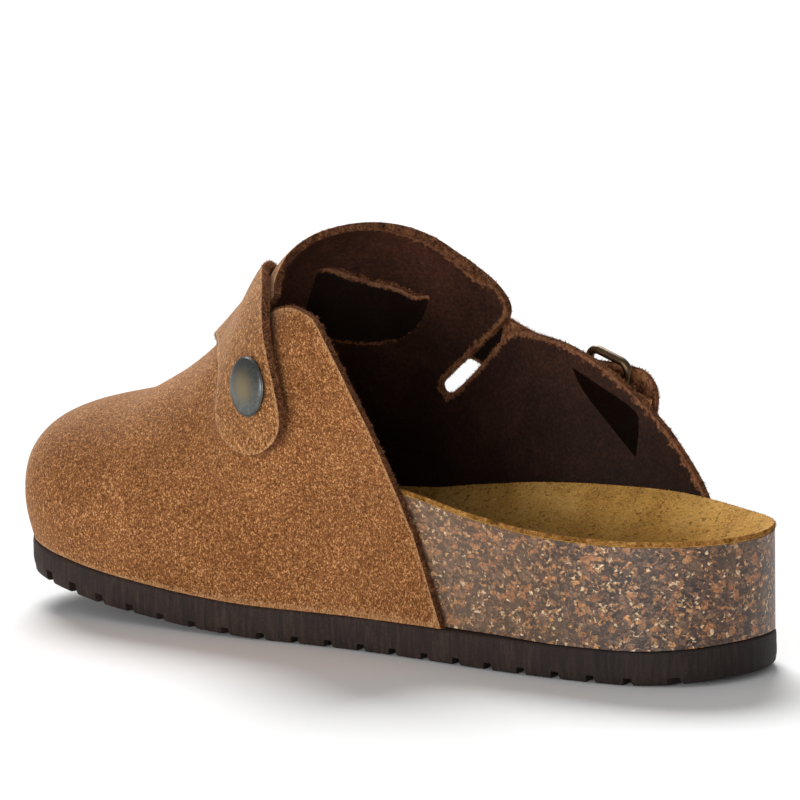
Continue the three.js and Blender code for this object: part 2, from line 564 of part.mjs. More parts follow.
// The strap's height over the face at a distance across it, where the front edge is positive
function strapLift(u, w) {
  const lift = strapCurves.lift(u + (strapCurves.skew(u) * w * lastRow) / strapLength);
  return lift + strapCurves.tilt(u) * (strapCurves.half(u) - w);
}
function strapMiddle(u) {
  const x = strapCurves.x(u);
  const v = strapCurves.v(u);
  const { point, normal } = faceFrame(x, v);
  return { point: point.clone().addScaledVector(normal, strapCurves.lift(u)), normal, x, v };
}
const strapSteps = 50;
const strapStations = (from, to) => {
  const rows = Array.from({ length: strapSteps + 1 }, (_, i) => (i * lastRow) / strapSteps);
  return rows.filter((u) => u >= from - 1e-6 && u <= to + 1e-6);
};
function makeStrap(grow, from, to, rounded) {
  const rows = strapStations(from, to);
  const middles = rows.map(strapMiddle);
  const lengths = [0];
  for (let i = 1; i < middles.length; i += 1) {
    lengths.push(lengths[i - 1] + middles[i].point.distanceTo(middles[i - 1].point));
  }
  const total = lengths[lengths.length - 1];
  const acrossCount = 4;
  const sections = middles.map((middle, i) => {
    const before = middles[Math.max(0, i - 1)].point;
    const after = middles[Math.min(middles.length - 1, i + 1)].point;
    const along = after.clone().sub(before).normalize();
    const acrossWay = middle.normal.clone().cross(along).normalize();
    let half = strapCurves.half(rows[i]);
    if (rounded) {
      const startRound = clamp(1 - (lengths[i] + 0.6) / half, 0, 1);
      const endRound = clamp(1 - (total - lengths[i] + 0.6) / (half * 0.8), 0, 1);
      half *= Math.sqrt(1 - startRound ** 2) * Math.sqrt(1 - endRound ** 2);
    }
    half += grow;
    const rowAt = (height) => Array.from({ length: acrossCount + 1 }, (_, j) => {
      const w = half * ((2 * j) / acrossCount - 1);
      const spot = walkOnFace(middle.x, middle.v, acrossWay, w);
      const { point, normal } = faceFrame(spot.x, spot.v);
      return point.clone().addScaledVector(normal, strapLift(rows[i], w) + height);
    });
    const thick = strapCurves.thick(rows[i]) / 2 + grow;
    return [...rowAt(-thick), ...rowAt(thick).reverse()];
  });
  return sweptSolid(sections);
}

// Hardware axes: along the strap to its end, across it, and away from the shoe
function axesAt(x, v, along) {
  const { point, normal } = faceFrame(x, v);
  const across = normal.clone().cross(along).normalize();
  const forward = across.clone().cross(normal).normalize();
  return new THREE.Matrix4().makeBasis(forward, across, normal).setPosition(point);
}
const rivetTilt = new THREE.Matrix4().makeRotationY(strapTilt);
const rivetAxes = axesAt(0.062 * shoeLength, 0.59, new THREE.Vector3(1, 0, 0)).multiply(rivetTilt);
const onOuter = (at, v) => faceAt(at * shoeLength, v);
const buckleAxes = axesAt(-0.1765 * shoeLength, -0.68, onOuter(-0.204, -0.694).sub(onOuter(-0.149, -0.667)));
const buckleHalf = strapWidth * 0.323 + 2.2;
const barRadius = 1.3;
const barSpan = 14.6;
const frameLift = 4.1;
const tabWidth = 12.5;
const tabThickness = 1.2;
const tabEnd = 18.6;

// A turned piece round the outward axis from rows of radius and height
function turned(rows, segments, axes) {
  const geometry = new THREE.LatheGeometry(rows.map(([r, z]) => new THREE.Vector2(r, z)), segments);
  geometry.rotateX(Math.PI / 2);
  return solidOf(geometry.applyMatrix4(axes));
}
const makePin = (radius, axes) => turned([[0, -9], [radius, -9], [radius, 12], [0, 12]], 16, axes);
function makeRivet() {
  const top = 2.8 * fitGap + strapThickness + 0.64 * strapTilt * strapWidth;
  const r = rivetDiameter / 2;
  const inside = -(upperWall + 0.95 + 4.6 * strapTilt);
  return turned([
    [0, inside - 1], [4.2, inside - 1], [4.6, inside - 0.5], [4.6, inside], [1.8, inside], [1.8, top],
    [r - 0.3, top], [r, top + 0.35], [r - 0.5, top + 0.95], [r * 0.72, top + 1.5], [r * 0.36, top + 1.85],
    [0, top + 1.95],
  ], 20, rivetAxes);
}
function makeTabRivet() {
  const top = 2.95;
  const inside = -(upperWall + 0.7);
  const axes = buckleAxes.clone().multiply(new THREE.Matrix4().makeTranslation(14.4, 0, 0));
  return turned([
    [0, inside - 0.9], [3.3, inside - 0.9], [3.5, inside], [1.3, inside], [1.3, top], [3.4, top],
    [3.2, top + 0.6], [2, top + 0.95], [0, top + 1.05],
  ], 14, axes);
}
function makeFrame() {
  const corner = 3;
  const points = [];
  for (const [sx, sy] of [[1, 1], [-1, 1], [-1, -1], [1, -1]]) {
    const cx = sx * (barSpan / 2 - corner);
    const cy = sy * (buckleHalf - corner);
    const start = Math.atan2(sy, sx) - Math.PI / 4;
    for (let k = 0; k <= 4; k += 1) {
      const turn = start + (k / 4) * (Math.PI / 2);
      points.push(new THREE.Vector3(cx + corner * Math.cos(turn), cy + corner * Math.sin(turn), frameLift));
    }
  }
  const curve = new THREE.CatmullRomCurve3(points, true, 'centripetal');
  return solidOf(new THREE.TubeGeometry(curve, 32, barRadius, 6, true).applyMatrix4(buckleAxes));
}
// A plate of the given outline in length and height, extruded across the strap
function plateAcross(outline, width, axes) {
  const geometry = new THREE.ExtrudeGeometry(
    new THREE.Shape(outline.map(([x, z]) => new THREE.Vector2(x, z))),
    { depth: width, bevelEnabled: false },
  );
  geometry.rotateX(Math.PI / 2).translate(0, width / 2, 0);
  return solidOf(geometry.applyMatrix4(axes));
}
const rearBar = barSpan / 2;
function makeTab() {
  const loopInner = barRadius + fitGap + 0.1;
  const loopOuter = loopInner + tabThickness;
  const low = frameLift - loopOuter;
  const outline = [[tabEnd, low + 0.2], [tabEnd, low + 0.2 + tabThickness], [rearBar + 3, low + tabThickness]];
  const steps = 7;
  const startTurn = -Math.PI / 2;
  const endTurn = -Math.PI * 2 + 0.35;
  for (let k = 0; k <= steps; k += 1) {
    const turn = lerp(startTurn, endTurn, k / steps);
    outline.push([rearBar + loopInner * Math.cos(turn), frameLift + loopInner * Math.sin(turn)]);
  }
  for (let k = steps; k >= 0; k -= 1) {
    const turn = lerp(startTurn, endTurn, k / steps);
    outline.push([rearBar + loopOuter * Math.cos(turn), frameLift + loopOuter * Math.sin(turn)]);
  }
  const slot = [[-2, -5], [rearBar + 4.2, -5], [rearBar + 4.2, 12], [-2, 12]];
  const pinAxes = buckleAxes.clone().multiply(new THREE.Matrix4().makeTranslation(14.4, 0, 0));
  return plateAcross(outline, tabWidth, buckleAxes)
    .subtract(plateAcross(slot, 3.6, buckleAxes))
    .subtract(makePin(1.3 + fitGap, pinAxes));
}
const prongTip = [-rearBar - 2.2, frameLift + barRadius + fitGap + 1.35];
function makeProng(grow) {
  const eyeInner = barRadius + fitGap;
  const start = new THREE.Vector3(rearBar - eyeInner - 0.4, 0, frameLift + 0.4);
  const end = new THREE.Vector3(prongTip[0], 0, prongTip[1]);
  const line = end.clone().sub(start);
  const arm = new THREE.CylinderGeometry(1.0 + grow, 1.0 + grow, line.length() + 2 * grow, 12);
  arm.applyQuaternion(new THREE.Quaternion().setFromUnitVectors(new THREE.Vector3(0, 1, 0), line.normalize()));
  arm.translate(...start.add(end).multiplyScalar(0.5).toArray());
  const rows = [[eyeInner, -1.3], [eyeInner + 1, -1.3], [eyeInner + 1, 1.3], [eyeInner, 1.3], [eyeInner, -1.3]];
  const eye = new THREE.LatheGeometry(rows.map(([r, y]) => new THREE.Vector2(r, y)), 20);
  eye.translate(rearBar, 0, frameLift);
  return solidOf(arm.applyMatrix4(buckleAxes)).add(solidOf(eye.applyMatrix4(buckleAxes)));
}

// Assembly
const strapHoles = [-0.078, -0.114];
const strapHoleRadius = 1.6;
function strapHolePin(x) {
  let u = lastRow / 2;
  while (strapCurves.x(u) > x && u < lastRow) u += 0.02;
  return makePin(strapHoleRadius, axesAt(x, strapCurves.v(u), new THREE.Vector3(-1, 0, 0)));
}
let strap = makeStrap(0, 0, lastRow, true).subtract(makePin(1.8 + fitGap, rivetAxes)).subtract(makeProng(0.4));
for (const at of strapHoles) strap = strap.subtract(strapHolePin(at * shoeLength));
const slotRanges = strapPath
  .map((row, i) => ({ row, i }))
  .filter(({ row }) => row.layer === 0)
  .map(({ i }) => [i - 2, i + 2]);
let upper = makeShell()
  .subtract(sideCutter(innerCut, tongueEdge[0].out * ballWidth))
  .subtract(sideCutter(outerCut, tongueEdge[tongueEdge.length - 1].out * ballWidth))
  .subtract(tongueCutter());
for (const [from, to] of slotRanges) upper = upper.subtract(makeStrap(fitGap, from, to, false));
const tabPinAxes = buckleAxes.clone().multiply(new THREE.Matrix4().makeTranslation(14.4, 0, 0));
upper = upper.subtract(makePin(1.8 + fitGap, rivetAxes)).subtract(makePin(1.3 + fitGap, tabPinAxes));
const pieces = [
  { name: 'outsole', solid: makeOutsole(), color: 0x2a1d17, roughness: 0.75, metalness: 0 },
  { name: 'cork_footbed', solid: makeCork(), color: 0x8a6a4c, roughness: 0.6, metalness: 0 },
  { name: 'insole_lining', solid: makeInsole(), color: 0xb8874a, roughness: 0.95, metalness: 0 },
  { name: 'upper', solid: upper, color: 0x8b5a33, roughness: 0.95, metalness: 0 },
  { name: 'strap', solid: strap, color: 0x935f36, roughness: 0.95, metalness: 0 },
  { name: 'strap_rivet', solid: makeRivet(), color: 0x6e6350, roughness: 0.35, metalness: 1 },
  { name: 'buckle_frame', solid: makeFrame(), color: 0x6e6350, roughness: 0.35, metalness: 1 },
  { name: 'buckle_prong', solid: makeProng(0), color: 0x6e6350, roughness: 0.35, metalness: 1 },
  { name: 'buckle_tab', solid: makeTab(), color: 0x7d5230, roughness: 0.95, metalness: 0 },
  { name: 'tab_rivet', solid: makeTabRivet(), color: 0x6e6350, roughness: 0.35, metalness: 1 },
];
const shoe = new THREE.Group();
shoe.name = 'clog_mule';
for (const piece of pieces) {
  const { vertProperties, triVerts } = piece.solid.getMesh();
  const geometry = geometryFrom(Array.from(vertProperties), Array.from(triVerts));
  geometry.computeVertexNormals();
  const { color, roughness, metalness } = piece;
  const mesh = new THREE.Mesh(geometry, new THREE.MeshStandardMaterial({ color, roughness, metalness }));
  mesh.name = piece.name;
  shoe.add(mesh);
}
// The middle of the whole box stands over the origin
const box = new THREE.Box3().setFromObject(shoe);
for (const mesh of shoe.children) {
  mesh.geometry.translate(-(box.min.x + box.max.x) / 2, -(box.min.y + box.max.y) / 2, 0);
}
export default shoe;
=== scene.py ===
import math
import random

import bpy
from mathutils import Matrix, Vector
from mathutils.kdtree import KDTree
from mathutils.noise import noise as noiseAt


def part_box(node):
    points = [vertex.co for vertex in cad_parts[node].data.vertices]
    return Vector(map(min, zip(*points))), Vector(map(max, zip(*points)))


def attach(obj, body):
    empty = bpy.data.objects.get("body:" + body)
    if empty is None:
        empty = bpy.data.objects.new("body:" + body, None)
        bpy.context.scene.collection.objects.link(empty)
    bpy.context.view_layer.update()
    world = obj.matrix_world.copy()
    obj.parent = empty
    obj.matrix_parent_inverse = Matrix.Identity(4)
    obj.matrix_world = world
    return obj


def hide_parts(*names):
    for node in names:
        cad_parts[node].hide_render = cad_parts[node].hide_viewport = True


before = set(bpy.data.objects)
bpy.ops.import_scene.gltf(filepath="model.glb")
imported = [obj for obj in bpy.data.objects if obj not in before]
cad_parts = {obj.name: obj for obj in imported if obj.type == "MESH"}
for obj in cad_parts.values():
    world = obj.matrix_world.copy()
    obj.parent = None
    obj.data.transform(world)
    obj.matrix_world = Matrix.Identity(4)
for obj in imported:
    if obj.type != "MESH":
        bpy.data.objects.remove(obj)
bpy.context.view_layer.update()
bpy.ops.object.select_all(action="DESELECT")
print("frame loaded")

# the shoe's own sizes in millimetres: x to the toe, y to the inner side, z up
shoe = {
    "length": 255.0, "ballWidth": 91.0, "heelWidth": 67.0, "waistWidth": 72.0,
    "soleThick": 9.6, "toeSpring": 12.8, "springStart": 0.56, "springPower": 1.75,
    "heelLift": 2.0, "heelBevel": 0.1, "rimHeight": 40.3, "tongueHeight": 118.0,
    "wall": 2.2, "lining": 1.5, "gap": 0.3,
}
toMetres = 0.001
doublesWithin = 0.00002
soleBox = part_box("outsole")


def clamp(value, low=0.0, high=1.0):
    return min(high, max(low, value))


def lerp(a, b, t):
    return a + (b - a) * t


def smooth(low, high, value):
    t = clamp((value - low) / (high - low))
    return t * t * (3 - 2 * t)


def tableCurve(xs, ys):
    # a curve through the rows of a table that doesn't overshoot between them
    slopes = [(ys[i + 1] - ys[i]) / (xs[i + 1] - xs[i]) for i in range(len(xs) - 1)]
    tangents = [slopes[0]]
    for before, after in zip(slopes, slopes[1:]):
        tangents.append(0.0 if before * after <= 0 else 2 * before * after / (before + after))
    tangents.append(slopes[-1])

    def curve(x):
        if x <= xs[0]:
            return ys[0]
        if x >= xs[-1]:
            return ys[-1]
        i = 0
        while x > xs[i + 1]:
            i += 1
        step = xs[i + 1] - xs[i]
        t = (x - xs[i]) / step
        rise = ys[i + 1] - ys[i]
        start, end = tangents[i] * step, tangents[i + 1] * step
        return ys[i] + t * (start + t * (3 * rise - 2 * start - end + t * (start + end - 2 * rise)))
    return curve


def columnsOf(rows, units):
    at = [row[0] for row in rows]
    return {name: tableCurve(at, [row[i + 1] * unit for row in rows])
            for i, (name, unit) in enumerate(units.items())}


# share of the length, named width, share of half that width, shift to the inner side
heelW, waistW, ballW = shoe["heelWidth"], shoe["waistWidth"], shoe["ballWidth"]
outlineRows = [
    (0.0, heelW, 0.0, 0.0), (0.02, heelW, 0.49, 0.0), (0.05, heelW, 0.71, 0.0), (0.1, heelW, 0.9, 0.0),
    (0.17, heelW, 1.0, 0.0), (0.26, waistW, 0.985, -0.002), (0.35, waistW, 1.0, -0.009),
    (0.45, waistW, 1.035, -0.016), (0.55, ballW, 0.89, -0.018), (0.64, ballW, 0.97, -0.018),
    (0.72, ballW, 1.0, -0.015), (0.8, ballW, 0.985, 0.003), (0.88, ballW, 0.895, 0.031),
    (0.94, ballW, 0.735, 0.056), (0.98, ballW, 0.46, 0.068), (1.0, ballW, 0.0, 0.075),
]
outlineAt = [row[0] for row in outlineRows]
halfSquared = tableCurve(outlineAt, [(row[1] * row[2] / 2) ** 2 for row in outlineRows])
middleOf = tableCurve(outlineAt, [row[3] * ballW for row in outlineRows])
# ridge height, its lean, height and bulge of the widest place, cork floor, roundness across and up
sectionRows = [
    (0, 1.02, 0, 0.596, -0.0044, 0.385, 2.2, 2.5), (0.35, 1.035, 0, 0.645, -0.0044, 0.409, 2.2, 2.5),
    (0.5, 1.035, 0, 0.67, -0.0022, 0.385, 2.15, 2.45),
    (0.56, 1.01, 0.005, 0.596, 0.0033, 0.347, 2.05, 2.3),
    (0.605, 0.985, 0.017, 0.541, 0.0055, 0.318, 1.9, 2.14),
    (0.645, 0.91, 0.025, 0.484, 0.0088, 0.298, 1.72, 1.97),
    (0.676, 0.84, 0.03, 0.447, 0.011, 0.285, 1.6, 1.85),
    (0.735, 0.705, 0.04, 0.397, 0.0176, 0.261, 1.75, 1.85),
    (0.79, 0.616, 0.05, 0.36, 0.022, 0.248, 1.95, 1.9),
    (0.85, 0.55, 0.058, 0.335, 0.0242, 0.236, 2.2, 2.1),
    (0.92, 0.526, 0.062, 0.323, 0.0242, 0.236, 2.4, 2.35),
    (0.97, 0.522, 0.065, 0.323, 0.022, 0.236, 2.5, 2.5), (1, 0.517, 0.065, 0.323, 0.022, 0.236, 2.5, 2.5),
]
sectionOf = columnsOf(sectionRows, {
    "ridge": shoe["tongueHeight"], "lean": ballW, "wall": shoe["rimHeight"], "bulge": ballW,
    "floor": shoe["rimHeight"], "spread": 1, "top": 1,
})
# footbed rim heights and bank widths, inner and outer
rimRows = [
    (0.0, 0.985, 0.985, 0.275, 0.275), (0.1, 0.975, 1.01, 0.275, 0.275), (0.2, 0.99, 1.04, 0.264, 0.264),
    (0.3, 1.06, 1.02, 0.275, 0.22), (0.4, 1.18, 0.97, 0.297, 0.187), (0.5, 1.21, 0.88, 0.286, 0.154),
    (0.6, 1.05, 0.78, 0.22, 0.132), (0.72, 0.82, 0.73, 0.143, 0.121), (0.85, 0.81, 0.78, 0.121, 0.121),
    (1.0, 0.9, 0.9, 0.121, 0.121),
]
rimOf = columnsOf(rimRows, {
    "inner": shoe["rimHeight"], "outer": shoe["rimHeight"], "innerBank": ballW, "outerBank": ballW,
})
innerSide = max(middleOf(i / 400) + math.sqrt(max(0, halfSquared(i / 400))) for i in range(401))
middleX = soleBox[0].x * 1000 + shoe["length"] / 2   # where the sole's middle lies in the frame
middleY = soleBox[1].y * 1000 - innerSide


def shareAt(x):
    return clamp(x / shoe["length"] + 0.5)


def underside(x):
    toe = clamp((shareAt(x) - shoe["springStart"]) / (1 - shoe["springStart"]))
    heel = clamp((shoe["heelBevel"] - shareAt(x)) / shoe["heelBevel"])
    return shoe["toeSpring"] * toe ** shoe["springPower"] + shoe["heelLift"] * heel ** 2


def soleTop(x):
    return underside(x) + shoe["soleThick"]


heelFan = -shoe["length"] / 2 + 0.47 * heelW
toeFan = shoe["length"] / 2 - 0.4 * ballW


class Column:
    # a column of the shoe at one place of its outline, with its point on the middle line
    def __init__(self, x, side):
        spineX = clamp(x, heelFan, toeFan)
        self.x, self.side = x, side
        self.spine = Vector((spineX, sectionOf["lean"](shareAt(spineX))))
        half = math.sqrt(max(0.0, halfSquared(shareAt(x))))
        outward = Vector((x, middleOf(shareAt(x)) + side * half)) - self.spine
        self.reach = outward.length
        self.outward = outward.normalized()

    def plan(self, part, grow=0.0):
        return self.spine + self.outward * (max(0.0, self.reach + grow) * part)


face = {"wallPart": 0.16, "baseInset": 0.4, "innerFlare": 0.165 * ballW, "flareFrom": 0.5, "flareTo": 0.68,
        "ripple": 0.2, "rippleLength": 21.0}


def ripple(point):
    # the leather isn't quite even
    fine = Vector(point) / face["rippleLength"]
    return face["ripple"] * (noiseAt(fine) + 0.4 * noiseAt(fine * 2.3))


def facePoint(col, height):
    # the upper's outer face: height 0 is its bottom edge and 1 the ridge
    share = shareAt(col.x)
    bulge = sectionOf["bulge"](share)
    wallPart = face["wallPart"]
    if height <= wallPart:
        t = height / wallPart
        plan = col.plan(1, lerp(-face["baseInset"], bulge, math.sin(t * math.pi / 2)))
        return Vector((plan.x, plan.y, soleTop(plan.x) + shoe["gap"] + sectionOf["wall"](share) * t))
    turn = (height - wallPart) / (1 - wallPart) * math.pi / 2
    across = max(0.0, math.cos(turn)) ** (2 / sectionOf["spread"](share))
    flareShare = 1 - smooth(face["flareFrom"], face["flareTo"], share)
    flare = face["innerFlare"] * flareShare if col.side > 0 else 0
    plan = col.plan(across, bulge) + col.outward * (flare * math.sin(2 * turn))
    own = shareAt(plan.x)
    foot = soleTop(plan.x) + shoe["gap"] + sectionOf["wall"](own)
    rise = sectionOf["ridge"](own) - foot
    point = Vector((plan.x, plan.y, foot + rise * max(0.0, math.sin(turn)) ** (2 / sectionOf["top"](own))))
    level = math.sin(turn)
    way = Vector((*(col.outward * math.cos(turn)), level))
    return point + way * (ripple(point) * smooth(0, 0.3, level))


def faceAt(x, v):
    return facePoint(Column(x, -1 if v < 0 else 1), 1 - abs(v))


def faceFrame(x, v):
    alongX = faceAt(x + 0.5, v) - faceAt(x - 0.5, v)
    alongV = (faceAt(x, v + 0.004) - faceAt(x, v - 0.004)) / 0.008
    return faceAt(x, v), alongX, alongV, alongX.cross(alongV).normalized()


def walkOnFace(x, v, direction, distance):
    steps = max(1, math.ceil(abs(distance) / 3))
    step = distance / steps
    for _ in range(steps):
        _, alongX, alongV, _ = faceFrame(x, v)
        a, b, c = alongX.dot(alongX), alongX.dot(alongV), alongV.dot(alongV)
        p, q = alongX.dot(direction) * step, alongV.dot(direction) * step
        scale = a * c - b * b
        x += (p * c - q * b) / scale
        v += (q * a - p * b) / scale
    return x, v


def place(point):
    return (Vector(point) + Vector((middleX, middleY, 0))) * toMetres


# outline columns from the heel over the inner side to the toe and back; s runs from 0 to 1 round them
def columnAt(s, count):
    i = round(s * count * 2) % (count * 2)
    side = 1 if i <= count else -1
    turn = math.pi * (i if i <= count else 2 * count - i) / count
    return Column(-shoe["length"] / 2 * math.cos(turn), side)


# making pieces


def activate(piece):
    bpy.ops.object.select_all(action="DESELECT")
    piece.select_set(True)
    bpy.context.view_layer.objects.active = piece


def editMesh(piece, *steps):
    # the steps work on the whole mesh in edit mode
    activate(piece)
    bpy.ops.object.mode_set(mode="EDIT")
    bpy.ops.mesh.select_all(action="SELECT")
    for step in steps:
        step()
    bpy.ops.object.mode_set(mode="OBJECT")


def faceOut():
    bpy.ops.mesh.select_all(action="SELECT")
    bpy.ops.mesh.normals_make_consistent(inside=False)


def joinDoubles():
    bpy.ops.mesh.remove_doubles(threshold=doublesWithin)


def fillHoles():
    bpy.ops.mesh.select_all(action="DESELECT")
    bpy.ops.mesh.select_non_manifold()
    bpy.ops.mesh.fill_holes(sides=0)


def closeEnds(piece, index):
    # closes the open ends of a swept piece with the material of that number
    def assign():
        piece.active_material_index = index
        bpy.ops.object.material_slot_assign()
    editMesh(piece, fillHoles, assign, faceOut)


def shapedGrid(name, across, along, where, materials=(), pick=None):
    # a grid primitive whose points are put where the shape has them; doubles are joined
    bpy.ops.object.select_all(action="DESELECT")
    bpy.ops.mesh.primitive_grid_add(x_subdivisions=across, y_subdivisions=along, size=2)
    piece = bpy.context.object
    piece.name = name
    piece.data.name = name
    for material in materials:
        piece.data.materials.append(material)
    spots = [(round((v.co.x + 1) / 2 * across), round((v.co.y + 1) / 2 * along)) for v in piece.data.vertices]
    if pick:
        for polygon in piece.data.polygons:
            corners = [spots[i] for i in polygon.vertices]
            polygon.material_index = pick(min(s for s, _ in corners), min(t for _, t in corners))
    for vertex, (s, t) in zip(piece.data.vertices, spots):
        vertex.co = place(where(s, t))
    editMesh(piece, joinDoubles, faceOut)
    return piece


def applyModifier(piece, kind, **settings):
    activate(piece)
    modifier = piece.modifiers.new(kind.lower(), kind)
    for key, value in settings.items():
        setattr(modifier, key, value)
    bpy.ops.object.modifier_apply(modifier=modifier.name)


def cut(piece, cutter):
    applyModifier(piece, "BOOLEAN", operation="DIFFERENCE", solver="EXACT", object=cutter,
                  material_mode="TRANSFER")
    bpy.data.objects.remove(cutter)


def softShade(piece, degrees=35):
    activate(piece)
    bpy.ops.object.shade_smooth_by_angle(angle=math.radians(degrees))


def finishPiece(piece, slotName, *nodes):
    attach(piece, "root")
    if nodes:
        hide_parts(*nodes)


# materials


def newMaterial(name):
    material = bpy.data.materials.new(name)
    material.use_nodes = True
    tree = material.node_tree
    return material, tree, tree.nodes["Principled BSDF"]


def node(tree, kind, **settings):
    made = tree.nodes.new(kind)
    for key, value in settings.items():
        if key in made.inputs:
            made.inputs[key].default_value = value
        else:
            setattr(made, key, value)
    return made


def coordinates(tree, stretch=(1, 1, 1)):
    source = node(tree, "ShaderNodeTexCoord")
    mapping = node(tree, "ShaderNodeMapping", Scale=stretch)
    tree.links.new(source.outputs["Object"], mapping.inputs["Vector"])
    return mapping.outputs["Vector"]


def places(tree):
    source = node(tree, "ShaderNodeTexCoord")
    made = node(tree, "ShaderNodeSeparateXYZ")
    tree.links.new(source.outputs["Object"], made.inputs[0])
    return made.outputs


def fromHeel(tree):
    # 0 at the heel's end, 1 at 100 mm from it
    return maths(tree, "MULTIPLY_ADD", places(tree)[0], 10, 1.3)


def noise(tree, vector, scale, detail=2.0, rough=0.5, distortion=0.0):
    made = node(tree, "ShaderNodeTexNoise", Scale=scale, Detail=detail, Roughness=rough,
                Distortion=distortion)
    tree.links.new(vector, made.inputs["Vector"])
    return made.outputs["Fac"]


def ramp(tree, value, stops, smoothness="LINEAR"):
    made = node(tree, "ShaderNodeValToRGB")
    tree.links.new(value, made.inputs["Fac"])
    elements = made.color_ramp.elements
    made.color_ramp.interpolation = smoothness
    while len(elements) < len(stops):
        elements.new(0.5)
    for element, (position, colour) in zip(elements, stops):
        element.position = position
        element.color = (*colour, 1)
    return made.outputs["Color"]


def mask(tree, value, low, high, most=1.0, least=0.0):
    # rises from the least to the most between two values of a pattern
    return ramp(tree, value, [(low, (least,) * 3), (high, (most,) * 3)])


def tones(tree, value, look, low, middle, high):
    # the three tones of a look over a pattern
    return ramp(tree, value, [(low, look["dark"]), (middle, look["mid"]), (high, look["pale"])])


def mix(tree, factor, a, b, blend="MIX"):
    made = node(tree, "ShaderNodeMix", data_type="RGBA", blend_type=blend)
    for value, socket in ((factor, made.inputs[0]), (a, made.inputs[6]), (b, made.inputs[7])):
        if isinstance(value, bpy.types.NodeSocket):
            tree.links.new(value, socket)
        elif isinstance(value, tuple):
            socket.default_value = (*value, 1)
        else:
            socket.default_value = value
    return made.outputs[2]


def multiply(tree, colour, shade):
    return mix(tree, 1.0, colour, shade, "MULTIPLY")


def maths(tree, operation, a, b=0.0, third=None):
    made = node(tree, "ShaderNodeMath", operation=operation)
    for value, socket in zip((a, b, third), made.inputs):
        if value is None:
            continue
        if isinstance(value, bpy.types.NodeSocket):
            tree.links.new(value, socket)
        else:
            socket.default_value = value
    return made.outputs[0]


def weigh(tree, a, b, share):
    # a weighted sum of two patterns
    return maths(tree, "ADD", maths(tree, "MULTIPLY", a, share), maths(tree, "MULTIPLY", b, 1 - share))


def bump(tree, shader, height, strength, distance):
    made = node(tree, "ShaderNodeBump", Strength=strength, Distance=distance)
    tree.links.new(height, made.inputs["Height"])
    tree.links.new(made.outputs["Normal"], shader.inputs["Normal"])


def tornEdge(tree, pattern, ragged):
    # 1 at a cut, falling away from it with a ragged border
    raw = node(tree, "ShaderNodeAttribute", attribute_name="rawEdge").outputs["Fac"]
    return maths(tree, "ADD", raw, maths(tree, "MULTIPLY", maths(tree, "SUBTRACT", pattern, 0.5), ragged))


suedeLook = {
    "dark": (0.08, 0.028, 0.009), "mid": (0.255, 0.096, 0.03), "pale": (0.66, 0.335, 0.135),
    "fray": (0.58, 0.32, 0.145), "nap": 2700.0, "tuft": 1150.0, "cloud": 48.0, "relief": 0.0004,
    "sheen": 0.33,
}
strapLook = {**suedeLook, "mid": (0.25, 0.102, 0.034), "nap": 2300.0, "tuft": 950.0}


def makeSuede(name, look):
    # brushed suede: clouds where the nap lies over, tufts, and a fine pale and dark nap
    material, tree, shader = newMaterial(name)
    vector = coordinates(tree)
    nap = noise(tree, coordinates(tree, (1.0, 1.0, 0.72)), look["nap"], 2, 0.6, 0.5)
    tuft = noise(tree, vector, look["tuft"], 2, 0.6, 0.6)
    cloud = noise(tree, vector, look["cloud"], 4, 0.6, 0.4)
    both = weigh(tree, nap, tuft, 0.6)
    grain = ramp(tree, both, [
        (0.38, look["dark"]), (0.49, look["mid"]), (0.53, look["mid"]), (0.61, look["pale"])])
    shade = ramp(tree, cloud, [(0.3, (0.84, 0.8, 0.76)), (0.7, (1.12, 1.14, 1.16))])
    colour = multiply(tree, grain, shade)
    torn = tornEdge(tree, tuft, 1.6)
    fray = mix(tree, mask(tree, nap, 0.4, 0.6), look["mid"], look["fray"])
    colour = mix(tree, mask(tree, torn, 0.45, 0.75, 0.75), colour, fray)
    tree.links.new(colour, shader.inputs["Base Color"])
    shader.inputs["Roughness"].default_value = 0.95
    shader.inputs["Specular IOR Level"].default_value = 0.12
    shader.inputs["Sheen Weight"].default_value = look["sheen"]
    shader.inputs["Sheen Roughness"].default_value = 0.4
    shader.inputs["Sheen Tint"].default_value = (0.95, 0.66, 0.44, 1)
    bump(tree, shader, both, 0.9, look["relief"])
    return material


edgeLook = {"dark": (0.016, 0.006, 0.0035), "mid": (0.1, 0.038, 0.018), "pale": (0.28, 0.12, 0.054)}
insideLook = {"dark": (0.014, 0.006, 0.0042), "mid": (0.036, 0.014, 0.0088), "pale": (0.075, 0.029, 0.017)}


def makeInside(name, look, gloss):
    # the smooth inner side of the leather, dark chocolate with a faint grain, with painted shade low down and
    # painted light near the top
    material, tree, shader = newMaterial(name)
    vector = coordinates(tree)
    pores = noise(tree, vector, 1000, 3, 0.6)
    cloud = noise(tree, vector, 70, 4, 0.65, 0.5)
    both = weigh(tree, pores, cloud, 0.6)
    colour = tones(tree, both, look, 0.34, 0.5, 0.68)
    # painted shade and light: the colour is darkened low down, where the inside of the shoe lies in shade,
    # and made paler towards the top edges, where light reaches
    height = ramp(tree, maths(tree, "MULTIPLY", places(tree)[2], 8), [
        (0.28, (0.42, 0.42, 0.42)), (0.6, (0.8, 0.78, 0.78)), (0.92, (1.6, 1.5, 1.45))])
    colour = multiply(tree, colour, height)
    torn = tornEdge(tree, pores, 0.9)
    fray = ramp(tree, pores, [(0.35, edgeLook["mid"]), (0.65, edgeLook["pale"])])
    colour = mix(tree, mask(tree, torn, 0.35, 0.62), colour, fray)
    tree.links.new(colour, shader.inputs["Base Color"])
    shader.inputs["Roughness"].default_value = gloss
    shader.inputs["Specular IOR Level"].default_value = 0.25
    bump(tree, shader, pores, 0.35, 0.00012)
    return material


